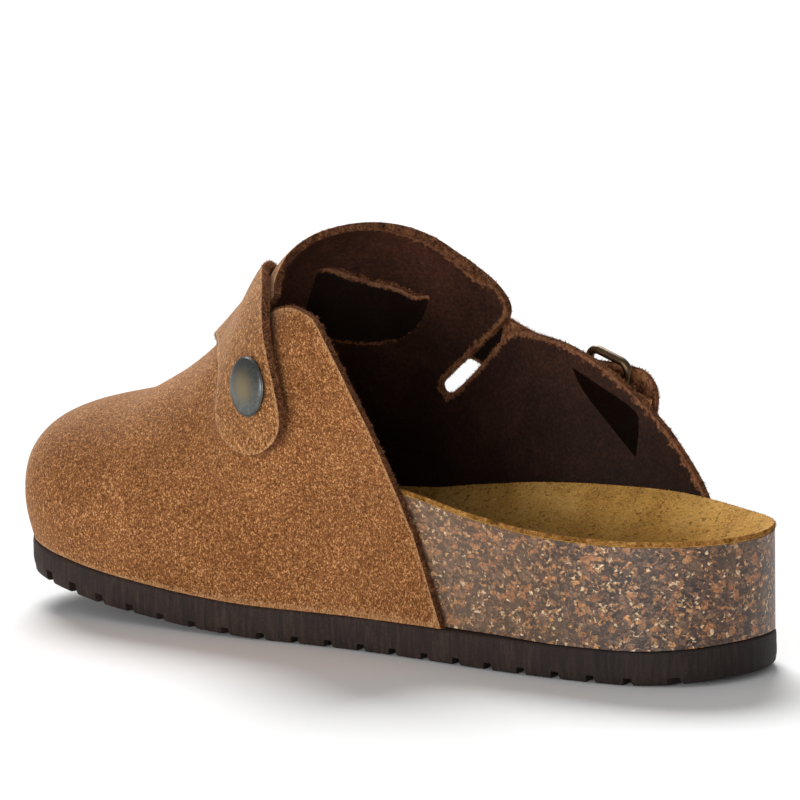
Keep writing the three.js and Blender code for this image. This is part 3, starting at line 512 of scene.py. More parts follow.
hairLook = {"dark": (0.045, 0.017, 0.009), "mid": (0.2, 0.08, 0.036), "pale": (0.46, 0.22, 0.1)}
rimLook = {"dark": (0.06, 0.025, 0.006), "mid": (0.3, 0.132, 0.028), "pale": (0.58, 0.33, 0.11)}


def makeCutEdge(name, look, scale, relief):
    # raw cut edge: fibres, dark between them
    material, tree, shader = newMaterial(name)
    vector = coordinates(tree)
    fibre = noise(tree, vector, scale, 4, 0.7)
    lump = noise(tree, vector, scale * 0.3, 2, 0.6)
    both = weigh(tree, fibre, lump, 0.55)
    colour = tones(tree, both, look, 0.38, 0.5, 0.66)
    tree.links.new(colour, shader.inputs["Base Color"])
    shader.inputs["Roughness"].default_value = 0.95
    shader.inputs["Specular IOR Level"].default_value = 0.1
    bump(tree, shader, both, 1.0, relief)
    return material


corkLook = {"granule": 500.0, "fleck": 1080.0, "crumb": 2200.0, "clump": 440.0, "tall": 1.2,
            "haze": (0.34, 0.215, 0.135)}


def cells(tree, vector, scale, feature="F1"):
    made = node(tree, "ShaderNodeTexVoronoi", Scale=scale, Randomness=1.0, feature=feature)
    tree.links.new(vector, made.inputs["Vector"])
    return made


def channels(tree, colour):
    made = node(tree, "ShaderNodeSeparateColor")
    tree.links.new(colour, made.inputs[0])
    return made.outputs


def bentBy(tree, vector, scale, amount):
    # places pushed about by a noise, so that no cell has straight sides
    warp = node(tree, "ShaderNodeTexNoise", Scale=scale, Detail=3, Roughness=0.65)
    tree.links.new(vector, warp.inputs["Vector"])
    made = node(tree, "ShaderNodeVectorMath", operation="MULTIPLY_ADD")
    tree.links.new(warp.outputs["Color"], made.inputs[0])
    made.inputs[1].default_value = (amount,) * 3
    tree.links.new(vector, made.inputs[2])
    return made.outputs[0]


def makeCork():
    # lacquered cork: packed brown granules, dark joints, with orange and pale flecks between them
    material, tree, shader = newMaterial("corkSide")
    vector = coordinates(tree, (1, 1, corkLook["tall"]))
    bent = bentBy(tree, vector, 420, 0.0024)
    big, small, crumb = (cells(tree, bent, corkLook[key]) for key in ("granule", "fleck", "crumb"))
    bigPick, smallPick, crumbPick = (channels(tree, made.outputs["Color"]) for made in (big, small, crumb))
    colour = ramp(tree, bigPick[0], [
        (0.0, (0.06, 0.034, 0.024)), (0.25, (0.105, 0.06, 0.039)), (0.5, (0.155, 0.091, 0.058)),
        (0.72, (0.23, 0.138, 0.085)), (0.88, (0.34, 0.18, 0.08)), (0.96, (0.56, 0.29, 0.115)),
    ], "CONSTANT")
    flecks = ramp(tree, smallPick[1], [
        (0.0, (0.04, 0.021, 0.014)), (0.35, (0.13, 0.07, 0.042)), (0.6, (0.36, 0.17, 0.066)),
        (0.8, (0.58, 0.35, 0.17)), (0.91, (0.86, 0.67, 0.45)),
    ], "CONSTANT")
    where = noise(tree, vector, 330, 2, 0.5)
    colour = mix(tree, mask(tree, where, 0.47, 0.53), colour, flecks)
    crumbs = ramp(tree, crumbPick[2], [
        (0.0, (0.5, 0.45, 0.42)), (0.3, (0.9, 0.9, 0.9)), (0.85, (1.55, 1.45, 1.35)),
    ], "CONSTANT")
    colour = mix(tree, 0.75, colour, crumbs, "MULTIPLY")
    clumps = channels(tree, cells(tree, bent, corkLook["clump"]).outputs["Color"])
    orange = mix(tree, smallPick[0], (0.24, 0.092, 0.034), (0.6, 0.27, 0.105))
    fewClumps = ramp(tree, clumps[1], [(0.0, (0, 0, 0)), (0.91, (0.85, 0.85, 0.85))], "CONSTANT")
    colour = mix(tree, fewClumps, colour, orange)
    joints = cells(tree, bent, corkLook["granule"], "DISTANCE_TO_EDGE").outputs["Distance"]
    colour = multiply(tree, colour, ramp(tree, joints, [(0.0, (0.38, 0.33, 0.3)), (0.09, (1, 1, 1))]))
    pits = noise(tree, vector, 620, 3, 0.65)
    colour = mix(tree, mask(tree, pits, 0.3, 0.38, 0.0, 1.0), colour, (0.022, 0.012, 0.009))
    haze = noise(tree, vector, 55, 3, 0.6)
    colour = mix(tree, mask(tree, haze, 0.35, 0.7, 0.12), colour, corkLook["haze"])
    # painted shade: the heel end is darker; towards the arch more of the pale haze colour is mixed in
    along = fromHeel(tree)
    colour = multiply(tree, colour, ramp(tree, along, [
        (0.0, (0.82, 0.73, 0.64)), (0.5, (1, 0.94, 0.84)), (1.0, (1.1, 1.05, 0.98))]))
    colour = mix(tree, mask(tree, along, 0.35, 1.0, 0.3), colour, corkLook["haze"])
    tree.links.new(colour, shader.inputs["Base Color"])
    shader.inputs["Roughness"].default_value = 0.5
    shader.inputs["Coat Weight"].default_value = 0.15
    shader.inputs["Coat Roughness"].default_value = 0.4
    height = maths(tree, "ADD", maths(tree, "MULTIPLY", joints, 1.6), maths(tree, "MULTIPLY", pits, 0.8))
    bump(tree, shader, height, 0.5, 0.0004)
    return material


liningLook = {"dark": (0.28, 0.135, 0.032), "mid": (0.58, 0.31, 0.07), "pale": (0.76, 0.47, 0.15),
              "fleck": (0.2, 0.095, 0.02)}


def makeLining():
    # ochre suede of the footbed with short dark flecks
    material, tree, shader = newMaterial("liningSuede")
    vector = coordinates(tree)
    nap = noise(tree, vector, 1700, 3, 0.65)
    cloud = noise(tree, vector, 50, 4, 0.6, 0.5)
    both = weigh(tree, nap, cloud, 0.55)
    colour = tones(tree, both, liningLook, 0.34, 0.49, 0.66)
    flecks = noise(tree, coordinates(tree, (0.8, 1.6, 1)), 760, 2, 0.5, 0.8)
    colour = mix(tree, mask(tree, flecks, 0.595, 0.66, 0.8), colour, liningLook["fleck"])
    tree.links.new(colour, shader.inputs["Base Color"])
    shader.inputs["Roughness"].default_value = 0.92
    shader.inputs["Specular IOR Level"].default_value = 0.15
    shader.inputs["Sheen Weight"].default_value = 0.06
    shader.inputs["Sheen Tint"].default_value = (1.0, 0.8, 0.5, 1)
    pebbles = noise(tree, vector, 430, 3, 0.6, 0.6)
    relief = maths(tree, "SUBTRACT", maths(tree, "ADD", both, pebbles), maths(tree, "MULTIPLY", flecks, 0.7))
    bump(tree, shader, relief, 0.8, 0.0009)
    return material


rubberLook = {"dark": (0.011, 0.0072, 0.0066), "mid": (0.025, 0.0145, 0.0118), "pale": (0.055, 0.033, 0.026)}


def makeRubber():
    # dark brown expanded rubber: upright drag marks of the trimming wheel and fine cells
    material, tree, shader = newMaterial("soleRubber")
    streak = noise(tree, coordinates(tree, (1, 1, 0.1)), 800, 4, 0.65)
    grain = noise(tree, coordinates(tree), 1900, 3, 0.6)
    worn = noise(tree, coordinates(tree), 60, 4, 0.6)
    both = maths(tree, "ADD", maths(tree, "MULTIPLY", streak, 0.5), maths(tree, "MULTIPLY", grain, 0.3))
    both = maths(tree, "ADD", both, maths(tree, "MULTIPLY", worn, 0.2))
    colour = tones(tree, both, rubberLook, 0.38, 0.5, 0.66)
    # painted shade: the rubber is darker towards the heel end
    along = fromHeel(tree)
    shade = ramp(tree, along, [(0.0, (0.5, 0.48, 0.48)), (0.7, (1.08, 1.05, 1.0))])
    colour = multiply(tree, colour, shade)
    tree.links.new(colour, shader.inputs["Base Color"])
    shader.inputs["Roughness"].default_value = 0.72
    shader.inputs["Specular IOR Level"].default_value = 0.3
    bump(tree, shader, both, 0.5, 0.00025)
    return material


def makeMetal(name, tint, centre=None, core=None):
    # antique metal gone dark, paler where it is rubbed; a rubbed core shows when a centre is given
    material, tree, shader = newMaterial(name)
    vector = coordinates(tree)
    patina = noise(tree, vector, 190, 5, 0.65, 0.8)
    fine = noise(tree, vector, 1400, 2, 0.5)
    both = weigh(tree, patina, fine, 0.75)
    dark, pale = (tuple(share * c for c in tint) for share in (0.5, 1.5))
    colour = ramp(tree, both, [(0.35, dark), (0.52, tint), (0.68, pale)])
    if centre:
        source = node(tree, "ShaderNodeTexCoord")
        mapping = node(tree, "ShaderNodeMapping", Location=tuple(-c for c in centre))
        tree.links.new(source.outputs["Object"], mapping.inputs["Vector"])
        length = node(tree, "ShaderNodeVectorMath", operation="LENGTH")
        tree.links.new(mapping.outputs[0], length.inputs[0])
        away = maths(tree, "ADD", maths(tree, "MULTIPLY", length.outputs["Value"], 100),
                     maths(tree, "MULTIPLY", patina, 0.5))
        worn = ramp(tree, away, [(0.35, (0.85, 0.85, 0.85)), (0.95, (0, 0, 0))], "EASE")
        colour = mix(tree, worn, colour, core)
    tree.links.new(colour, shader.inputs["Base Color"])
    shader.inputs["Metallic"].default_value = 1.0
    shader.inputs["Roughness"].default_value = 0.4
    bump(tree, shader, both, 0.2, 0.00012)
    return material


def shadeOf(look, share):
    # the same colours darker or paler
    return {key: tuple(share * c for c in rgb) for key, rgb in look.items()}


suede = makeSuede("upperSuede", suedeLook)
strapSuede = makeSuede("strapSuede", strapLook)
inside = makeInside("leatherInside", insideLook, 0.62)
pressedLeather = makeInside("pressedLeather", shadeOf(insideLook, 0.16), 0.3)
strapBack = makeInside("strapBack", shadeOf(insideLook, 0.22), 0.6)
cutEdge = makeCutEdge("leatherCutEdge", edgeLook, 1700, 0.0007)
edgeHair = makeCutEdge("leatherFibres", hairLook, 1200, 0.0001)
# the strap's edge fibres use a paler copy of the fibre colours: painted light where light catches the strap's
# edge
litStrapHair = makeCutEdge("strapFibres", shadeOf(hairLook, 1.45), 1200, 0.0001)
strapFlesh = makeCutEdge("strapFlesh", hairLook, 1300, 0.0004)
liningEdge = makeCutEdge("liningCutEdge", rimLook, 950, 0.0007)
liningHair = makeCutEdge("liningFibres", rimLook, 1200, 0.0001)
cork = makeCork()
liningSuede = makeLining()
rubber = makeRubber()
brass = makeMetal("antiqueBrass", (0.11, 0.072, 0.04))
print("materials made")

# camera, at the photograph's angle
cameraPlace = {"location": (-1000.6, 1223.4, 323.9), "target": (0, 0, 40), "roll": -0.938,
               "focal": 5458.5, "offset": (3.19, 92.81), "image": 800}


def makeCamera():
    data = bpy.data.cameras.new("camera")
    camera = bpy.data.objects.new("camera", data)
    bpy.context.collection.objects.link(camera)
    location = place(cameraPlace["location"])
    forward = (place(cameraPlace["target"]) - location).normalized()
    right = forward.cross(Vector((0, 0, 1))).normalized()
    up = right.cross(forward)
    roll = math.radians(cameraPlace["roll"])
    right, up = (right * math.cos(roll) + up * math.sin(roll), up * math.cos(roll) - right * math.sin(roll))
    focal = cameraPlace["focal"]
    forward = (forward - right * (cameraPlace["offset"][0] / focal)
               + up * (cameraPlace["offset"][1] / focal)).normalized()
    right = (right - forward * right.dot(forward)).normalized()
    up = right.cross(forward)
    camera.matrix_world = Matrix((
        (right.x, up.x, -forward.x, location.x), (right.y, up.y, -forward.y, location.y),
        (right.z, up.z, -forward.z, location.z), (0, 0, 0, 1)))
    data.sensor_width = 36
    data.lens = focal / cameraPlace["image"] * 36
    data.clip_start, data.clip_end = 0.05, 50
    bpy.context.scene.camera = camera


makeCamera()

# studio: pale floor, soft light all round and a softer shadow towards the camera
studio = {"floor": (0.95, 0.95, 0.95), "world": 0.33, "view": "Standard",
          "sun": {"from": (0.55, -0.48, 0.7), "power": 3.6, "spread": 30.0},
          "panel": {"at": (-0.35, 1.7, 0.3), "size": (1.6, 0.4), "power": 16.6}}


def makeStudio():
    bpy.ops.object.select_all(action="DESELECT")
    bpy.ops.mesh.primitive_plane_add(size=12, location=(0, 0, -0.0002))
    floor = bpy.context.object
    floor.name = "floor"
    material, _, shader = newMaterial("paperFloor")
    shader.inputs["Base Color"].default_value = (*studio["floor"], 1)
    shader.inputs["Roughness"].default_value = 0.95
    shader.inputs["Specular IOR Level"].default_value = 0.0
    floor.data.materials.append(material)
    world = bpy.context.scene.world or bpy.data.worlds.new("studio")
    bpy.context.scene.world = world
    world.use_nodes = True
    background = world.node_tree.nodes["Background"]
    background.inputs["Color"].default_value = (1, 1, 1, 1)
    background.inputs["Strength"].default_value = studio["world"]
    sun = bpy.data.lights.new("sun", "SUN")
    sun.energy, sun.angle = studio["sun"]["power"], math.radians(studio["sun"]["spread"])
    panel = bpy.data.lights.new("panel", "AREA")
    panel.shape, panel.energy = "RECTANGLE", studio["panel"]["power"]
    panel.size, panel.size_y = studio["panel"]["size"]
    for data, spot in ((sun, studio["sun"]["from"]), (panel, studio["panel"]["at"])):
        light = bpy.data.objects.new(data.name, data)
        bpy.context.collection.objects.link(light)
        light.location = spot
        light.rotation_mode = "QUATERNION"
        light.rotation_quaternion = (Vector((0, 0, 0.04)) - Vector(spot)).to_track_quat("-Z", "Y")
    bpy.context.scene.view_settings.view_transform = studio["view"]


makeStudio()
print("camera and studio made")

# upper
upperMake = {"stations": 150, "wallLevels": 5, "archLevels": 40, "innerWidth": 24.0, "outerWidth": -26.0,
             "rawBand": 2.4}
tongueEdge = [
    (24.8, 24), (26.6, 18), (26.8, 12.5), (25, 8), (21.4, 3.6), (17.4, -1.4), (14.2, -6.5), (11.1, -11.3),
    (5.6, -18), (-1.4, -23.4), (-8, -26),
]
innerCut = [
    (24.8, 108.6), (22.6, 105), (20, 102.6), (18.4, 100.8), (23, 97.2), (30, 91.5), (33.4, 88.6),
    (33.2, 86.3), (30.6, 86.2), (24.6, 90.8), (19.6, 95.2), (16, 97.3), (10.9, 98.9), (5.7, 99.6),
    (0.3, 98.5), (-4.1, 96), (-11, 86.8), (-17, 76.2), (-21.8, 65.8), (-26.2, 53.2), (-30.6, 39.6),
    (-35.2, 27), (-41.4, 10), (-46, 0),
]
outerCut = [
    (-8, 105), (-11, 102.8), (-13.6, 100.4), (-15.8, 97.4), (-17.1, 93.8), (-15.7, 89.6), (-9.5, 84.8),
    (7.2, 73), (13, 68.8), (16.4, 65.8), (15.2, 63.2), (11.4, 63.8), (5.1, 68), (-0.6, 72.4), (-13.4, 83),
    (-17, 85.2), (-22, 85.6), (-33.8, 84.1), (-41.5, 81.8), (-51, 77.6), (-59.6, 72), (-70.7, 63.2),
    (-75.4, 58.6), (-80.2, 53.2), (-85.1, 47), (-89, 40), (-92, 30), (-94, 10),
]


def roundedLine(points, parts=4):
    # a Catmull-Rom line through the points
    line = []
    for i in range(len(points) - 1):
        a, b = Vector(points[i]), Vector(points[i + 1])
        before = Vector(points[i - 1]) if i else a * 2 - b
        after = Vector(points[i + 2]) if i + 2 < len(points) else b * 2 - a
        for k in range(parts):
            t = k / parts
            line.append(0.5 * (2 * a + (b - before) * t + (2 * before - 5 * a + 4 * b - after) * t ** 2
                               + (3 * a - before - 3 * b + after) * t ** 3))
    line.append(Vector(points[-1]))
    return line


def prism(name, outline, near, far, flat, material):
    # a polygon outline pushed from one plane to another: flat "y" takes x and z rows, "z" takes x and y rows
    bpy.ops.object.select_all(action="DESELECT")
    bpy.ops.mesh.primitive_circle_add(vertices=len(outline), fill_type="NGON")
    piece = bpy.context.object
    piece.name = name
    for vertex, (a, b) in zip(piece.data.vertices, outline):
        vertex.co = place((a, near, b) if flat == "y" else (a, b, near))
    push = (far - near) * toMetres
    way = (0, push, 0) if flat == "y" else (0, 0, push)
    editMesh(piece, lambda: bpy.ops.mesh.extrude_region_move(TRANSFORM_OT_translate={"value": way}), faceOut)
    piece.data.materials.append(material)
    return piece


def upperShell():
    stations, low, high = (upperMake[key] for key in ("stations", "wallLevels", "archLevels"))
    columns = [columnAt(i / (2 * stations), stations) for i in range(2 * stations)]

    def where(s, t):
        wallPart = face["wallPart"]
        height = wallPart * t / low if t <= low else lerp(wallPart, 1, ((t - low) / high) ** 0.9)
        return facePoint(columns[s % (2 * stations)], height)
    shell = shapedGrid("upper", 2 * stations, low + high, where, [suede, inside, cutEdge])
    middle = Vector((0, 0, 0.05))
    wrong = sum(1 if (p.center - middle).dot(p.normal) > 0 else -1 for p in shell.data.polygons) < 0
    if wrong:
        editMesh(shell, bpy.ops.mesh.flip_normals)
    applyModifier(shell, "SOLIDIFY", thickness=shoe["wall"] * toMetres, offset=-1, use_even_offset=True,
                  material_offset=1, material_offset_rim=2)
    return shell


# strap path: x, place across the face, layer (1 over the leather, -1 under it, 0 in a slot), lift over that,
# width share, skew, thickness share, tilt share
strapMake = {"width": 30.5, "thickness": 3.0, "tilt": 0.06, "steps": 170, "across": 12, "edge": 0.9,
             "grow": 0.3, "slotRows": 2.0, "holes": (-20.0, -29.0), "holeRadius": 1.6, "fleshFrom": 0.62,
             "clearOver": 1.8, "clearUnder": 2.4}
strapRows = [
    (19.6, 0.712, 1, 0, 1, 0, 1, 1), (19.6, 0.65, 1, 0, 1, 0, 1, 1), (20.2, 0.585, 1, 0, 1, 0, 1, 1),
    (24, 0.49, 1, 0, 1.016, 0, 1, 0.8), (31.4, 0.39, 1, 0, 1.01, 0, 1, 0.4),
    (40, 0.27, 1, 0, 0.938, 0, 0.92, 0), (46.6, 0.165, 1, 0, 0.879, 0, 0.8, 0),
    (49.6, 0.06, 1, 0, 0.852, 0, 0.72, 0), (49.4, -0.08, 1, 0, 0.839, 0, 0.7, 0),
    (44.4, -0.2, 0, 0, 0.86, 0, 0.7, 0), (41, -0.285, -1, 0, 0.87, 0, 0.7, 0),
    (36.2, -0.365, -1, 0, 0.835, 0.3, 0.7, 0), (28, -0.445, -1, 0, 0.79, 0.6, 0.7, 0),
    (20.4, -0.502, 0, 0, 0.751, 0.6, 0.7, 0), (13, -0.535, 1, 0, 0.711, 0.6, 0.7, 0),
    (0, -0.575, 1, 0, 0.675, 0.3, 0.7, 0), (-18, -0.63, 1, 0, 0.656, 0, 0.7, 0),
    (-30, -0.652, 1, 0, 0.646, 0, 0.7, 0), (-38, -0.667, 1, 0, 0.646, 0, 0.7, 0),
    (-42, -0.675, 1, 1.2, 0.646, 0, 0.7, 0), (-48, -0.686, 1, 5.3, 0.646, 0, 0.7, 0),
    (-53, -0.696, 1, 7.5, 0.646, 0, 0.7, 0), (-58, -0.706, 1, 6, 0.646, 0, 0.7, 0),
    (-62, -0.716, 1, 4.4, 0.646, 0, 0.7, 0),
]


def strapLayer(layer, lift, thick):
    half = thick * strapMake["thickness"] / 2
    over = strapMake["clearOver"] * shoe["gap"] + half
    under = -(shoe["wall"] + strapMake["clearUnder"] * shoe["gap"] + half)
    return lerp(under, over, (layer + 1) / 2) + lift


lastRow = len(strapRows) - 1
strapOf = columnsOf(
    [(i, x, v, strapLayer(layer, lift, thick), width, skew, thick, tilt)
     for i, (x, v, layer, lift, width, skew, thick, tilt) in enumerate(strapRows)],
    {"x": 1, "v": 1, "lift": 1, "half": strapMake["width"] / 2, "skew": 1,
     "thick": strapMake["thickness"] / 2, "tilt": strapMake["tilt"]})
strapPoints = [faceAt(row[0], row[1]) for row in strapRows]
strapLength = sum((b - a).length for a, b in zip(strapPoints, strapPoints[1:]))


def strapRow(u, part, rounding):
    # one row across the strap: for each place its foot on the face, the way out and the lift
    x, v, along, half = part
    _, _, _, normal = faceFrame(x, v)
    acrossWay = normal.cross(along).normalized()
    fullHalf = strapOf["half"](u)
    spots = []
    for w in rounding(half):
        sx, sv = walkOnFace(x, v, acrossWay, w)
        foot, _, _, out = faceFrame(sx, sv)
        lift = strapOf["lift"](u + strapOf["skew"](u) * w / strapLength * lastRow)
        spots.append((foot, out, lift + strapOf["tilt"](u) * (fullHalf - w)))
    return spots


def strapSections(grow, first, last, steps, rounded):
    # sections across the strap from row first to row last, closer together near its ends
    shares = [i / steps for i in range(steps + 1)]
    if rounded:
        shares = [lerp(t, (1 - math.cos(math.pi * t)) / 2, 0.75) for t in shares]
    rows = [lerp(first, last, t) for t in shares]
    middles = []
    for u in rows:
        x, v = strapOf["x"](u), strapOf["v"](u)
        point, _, _, normal = faceFrame(x, v)
        middles.append((x, v, point + normal * strapOf["lift"](u)))
    lengths = [0.0]
    for a, b in zip(middles, middles[1:]):
        lengths.append(lengths[-1] + (b[2] - a[2]).length)
    across, edge = strapMake["across"], strapMake["edge"]

    def rounding(half):
        # places across the strap, the last three at each side for its rounded edge
        r = min(edge, half * 0.6)
        flat = half - r
        side = [flat + r * math.sin(math.radians(a)) for a in (30, 60, 90)]
        inner = [flat * (2 * j / across - 1) for j in range(across + 1)]
        return [*(-w for w in reversed(side)), *inner, *side]
    sections = []
    for i, (x, v, _) in enumerate(middles):
        u = rows[i]
        along = (middles[min(len(middles) - 1, i + 1)][2] - middles[max(0, i - 1)][2]).normalized()
        half = strapOf["half"](u)
        if rounded:
            startRound = clamp(1 - (lengths[i] + 0.1) / half)
            endRound = clamp(1 - (lengths[-1] - lengths[i] + 0.1) / (half * 0.8))
            half *= math.sqrt(1 - startRound ** 2) * math.sqrt(1 - endRound ** 2)
        sections.append((strapRow(u, (x, v, along, half + grow), rounding), strapOf["thick"](u) + grow))
    return sections


def strapBody(name, grow, first, last, steps, rounded, materials):
    sections = strapSections(grow, first, last, steps, rounded)
    wide = strapMake["across"] + 7
    edge = strapMake["edge"]

    def ringPoint(s, t):
        spots, thick = sections[t]
        s = s % (2 * wide)
        onFace = s < wide
        spot = s if onFace else 2 * wide - 1 - s
        foot, out, lift = spots[spot]
        near = min(spot, wide - 1 - spot)
        turn = math.radians((90, 60, 30)[near]) if near < 3 else 0
        drop = min(edge, thick * 0.8) * (1 - math.cos(turn))
        return foot + out * (lift + (thick - drop if onFace else drop - thick))

    def pick(s, t):
        # 0 on the brushed face, 1 on the smooth back, 3 on the back of its free end, 2 on the cut edge
        if s < wide:
            return 0 if 2 <= s < wide - 3 else 2
        back = 3 if t > strapMake["fleshFrom"] * steps else 1
        return back if wide + 1 <= s < 2 * wide - 2 else 2
    body = shapedGrid(name, 2 * wide, steps, ringPoint, materials, pick if len(materials) > 1 else None)
    editMesh(body, fillHoles, faceOut)
    return body


def axesAt(x, v, along):
    # forward, across and away from the shoe at a place of its face
    point, _, _, normal = faceFrame(x, v)
    across = normal.cross(along).normalized()
    forward = across.cross(normal).normalized()
    return Matrix((
        (forward.x, across.x, normal.x, point.x), (forward.y, across.y, normal.y, point.y),
        (forward.z, across.z, normal.z, point.z), (0, 0, 0, 1)))


def pinThrough(name, axes, radius):
    # a round cutter along the outward axis
    def where(s, t):
        turn = 2 * math.pi * s / 24
        r = (0, radius, radius, 0)[t]
        return axes @ Vector((r * math.cos(turn), -r * math.sin(turn), (-9, -9, 12, 12)[t]))
    return shapedGrid(name, 24, 3, where, [cutEdge])


def turnedPiece(name, profile, axes, parts, material):
    # a turned piece round the outward axis, from rows of radius and height
    def where(s, t):
        turn = 2 * math.pi * s / parts
        r, z = profile[t]
        return axes @ Vector((r * math.cos(turn), r * math.sin(turn), z))
    piece = shapedGrid(name, parts, len(profile) - 1, where, [material])
    softShade(piece, 32)
    return piece


rivetMake = {"x": 0.062 * shoe["length"], "v": 0.59, "diameter": 17.5, "shank": 1.8, "parts": 64,
             "head": 4.6, "headThick": 1.0, "headClear": 0.95, "capClear": 2.8, "tiltReach": 0.64,
             "rimHigh": 0.55, "dome": 1.4, "domeRows": 14}
rivetAxes = axesAt(rivetMake["x"], rivetMake["v"], Vector((1, 0, 0)))
rivetAxes = rivetAxes @ Matrix.Rotation(strapMake["tilt"], 4, "Y")
rivetLook = {"tint": (0.12, 0.125, 0.118), "core": (0.26, 0.2, 0.105), "coreHeight": 6.0}
rivetMetal = makeMetal("rivetMetal", rivetLook["tint"],
                       place(rivetAxes @ Vector((0, 0, rivetLook["coreHeight"]))), rivetLook["core"])


def makeUpper():
    shell = upperShell()
    near, far = upperMake["innerWidth"], upperMake["outerWidth"]
    inner = [*roundedLine(innerCut), Vector((-50, -20)), Vector((-150, -20)), Vector((-150, 150)),
             Vector((innerCut[0][0], 150))]
    cut(shell, prism("innerCutter", inner, near, near + 90, "y", cutEdge))
    outer = [*roundedLine(outerCut), Vector((-94, -20)), Vector((-150, -20)), Vector((-150, 150)),
             Vector((outerCut[0][0], 150))]
    cut(shell, prism("outerCutter", outer, far, far - 90, "y", cutEdge))
    tongue = [*roundedLine(tongueEdge), Vector((-150, far)), Vector((-150, near))]
    cut(shell, prism("tongueCutter", tongue, -20, 220, "z", cutEdge))
    cuts = cutPlaces(shell, 2)
    for i, row in enumerate(strapRows):
        if row[2] == 0:
            first, last = i - strapMake["slotRows"], i + strapMake["slotRows"]
            cut(shell, strapBody("slotCutter", strapMake["grow"], first, last, 24, False, [cutEdge]))
    softShade(shell)
    markRawEdge(shell, cuts)
    return shell


def markRawEdge(piece, cuts):
    # 1 at the cuts, fading to 0 away from them, for the frayed band beside a cut
    raw = piece.data.attributes.new("rawEdge", "FLOAT", "POINT")
    for i, vertex in enumerate(piece.data.vertices):
        raw.data[i].value = clamp(1 - cuts.find(vertex.co)[2] / (upperMake["rawBand"] * toMetres))


def cutPlaces(piece, edgeIndex):
    near = KDTree(sum(len(p.vertices) for p in piece.data.polygons if p.material_index == edgeIndex))
    k = 0
    for polygon in piece.data.polygons:
        if polygon.material_index == edgeIndex:
            for i in polygon.vertices:
                near.insert(piece.data.vertices[i].co, k)
                k += 1
    near.balance()
    return near


fibreMake = {"perArea": 7.0, "long": 1.0, "thick": 0.08, "seed": 11}


def edgeFibres(name, piece, edgeIndex, material, slotName, grow=1.0, along=0.75, length=1.0):
    # short loose fibres standing on the cut edge, each a closed spike on three sides
    draw = random.Random(fibreMake["seed"])
    points, faces = [], []
    for polygon in piece.data.polygons:
        if polygon.material_index != edgeIndex:
            continue
        corners = [piece.data.vertices[i].co for i in polygon.vertices]
        wanted = polygon.area * 1e6 * fibreMake["perArea"] * grow
        for _ in range(int(wanted) + (draw.random() < wanted % 1)):
            k = draw.randrange(1, len(corners) - 1)
            a, b = draw.random(), draw.random()
            if a + b > 1:
                a, b = 1 - a, 1 - b
            foot = corners[0] + (corners[k] - corners[0]) * a + (corners[k + 1] - corners[0]) * b
            lean = Vector((draw.uniform(-1, 1), draw.uniform(-1, 1), draw.uniform(-1, 1))) * along
            way = (polygon.normal + lean).normalized()
            if way.dot(polygon.normal) < 0.15:
                continue
            side = way.orthogonal().normalized()
            other = way.cross(side)
            r = fibreMake["thick"] * toMetres * draw.uniform(0.7, 1.4)
            tall = length * fibreMake["long"] * toMetres * draw.uniform(0.35, 1.0)
            first = len(points)
            low = foot - way * 0.0001
            for turn in (0, 2.0944, 4.18879):
                points.append(low + (side * math.cos(turn) + other * math.sin(turn)) * r)
            points.append(foot + way * tall + lean * tall * 0.3)
            faces += [(first, first + 2, first + 1), (first, first + 1, first + 3),
                      (first + 1, first + 2, first + 3), (first + 2, first, first + 3)]
    mesh = bpy.data.meshes.new(name)
    mesh.from_pydata(points, [], faces)
    mesh.materials.append(material)
    made = bpy.data.objects.new(name, mesh)
    bpy.context.collection.objects.link(made)
    finishPiece(made, slotName)
    print(name, len(faces))


upper = makeUpper()
finishPiece(upper, "upper_suede", "upper")
edgeFibres("upperFibres", upper, 2, edgeHair, "upper_suede")
print("upper made", len(upper.data.polygons))


def makeStrap():
    leathers = [strapSuede, strapBack, cutEdge, strapFlesh]
    strap = strapBody("strap", 0, 0, lastRow, strapMake["steps"], True, leathers)
    markRawEdge(strap, cutPlaces(strap, 2))
    for x in strapMake["holes"]:
        u = lastRow / 2
        while strapOf["x"](u) > x:
            u += 0.02
        axes = axesAt(x, strapOf["v"](u), Vector((-1, 0, 0)))
        cut(strap, pinThrough("holeCutter", axes, strapMake["holeRadius"]))
    softShade(strap)
    return strap


strap = makeStrap()
finishPiece(strap, "strap_suede", "strap")
edgeFibres("strapFibres", strap, 2, litStrapHair, "strap_suede", 0.9)
print("strap made", len(strap.data.polygons))


def makeRivet():
    gap = shoe["gap"]
    top = (rivetMake["capClear"] * gap + strapMake["thickness"]
           + rivetMake["tiltReach"] * strapMake["tilt"] * strapMake["width"])
    r, shank, head = rivetMake["diameter"] / 2, rivetMake["shank"], rivetMake["head"]
    low = -(shoe["wall"] + rivetMake["headClear"] + head * strapMake["tilt"])
    end = low - rivetMake["headThick"]
    turns = [math.pi / 2 * i / rivetMake["domeRows"] for i in range(rivetMake["domeRows"] + 1)]
    cap = [(r * math.cos(a), rivetMake["rimHigh"] + rivetMake["dome"] * math.sin(a) ** 1.1) for a in turns]
    rim = [(r - 0.5, 0.0), (r - 0.18, 0.03), (r, 0.16), (r + 0.02, 0.34), (r - 0.1, 0.5)]
    rows = [(0, end), (head - 0.4, end), (head - 0.1, end + 0.15), (head, end + 0.5), (head, low)]
    rows += [(shank, low), (shank, top)]
    rows += [(a, top + z) for a, z in rim]
    rows += [(a * (r - 0.3) / r, top + z) for a, z in cap]
    piece = turnedPiece("strapRivet", rows, rivetAxes, rivetMake["parts"], rivetMetal)
    finishPiece(piece, "metal", "strap_rivet")


makeRivet()

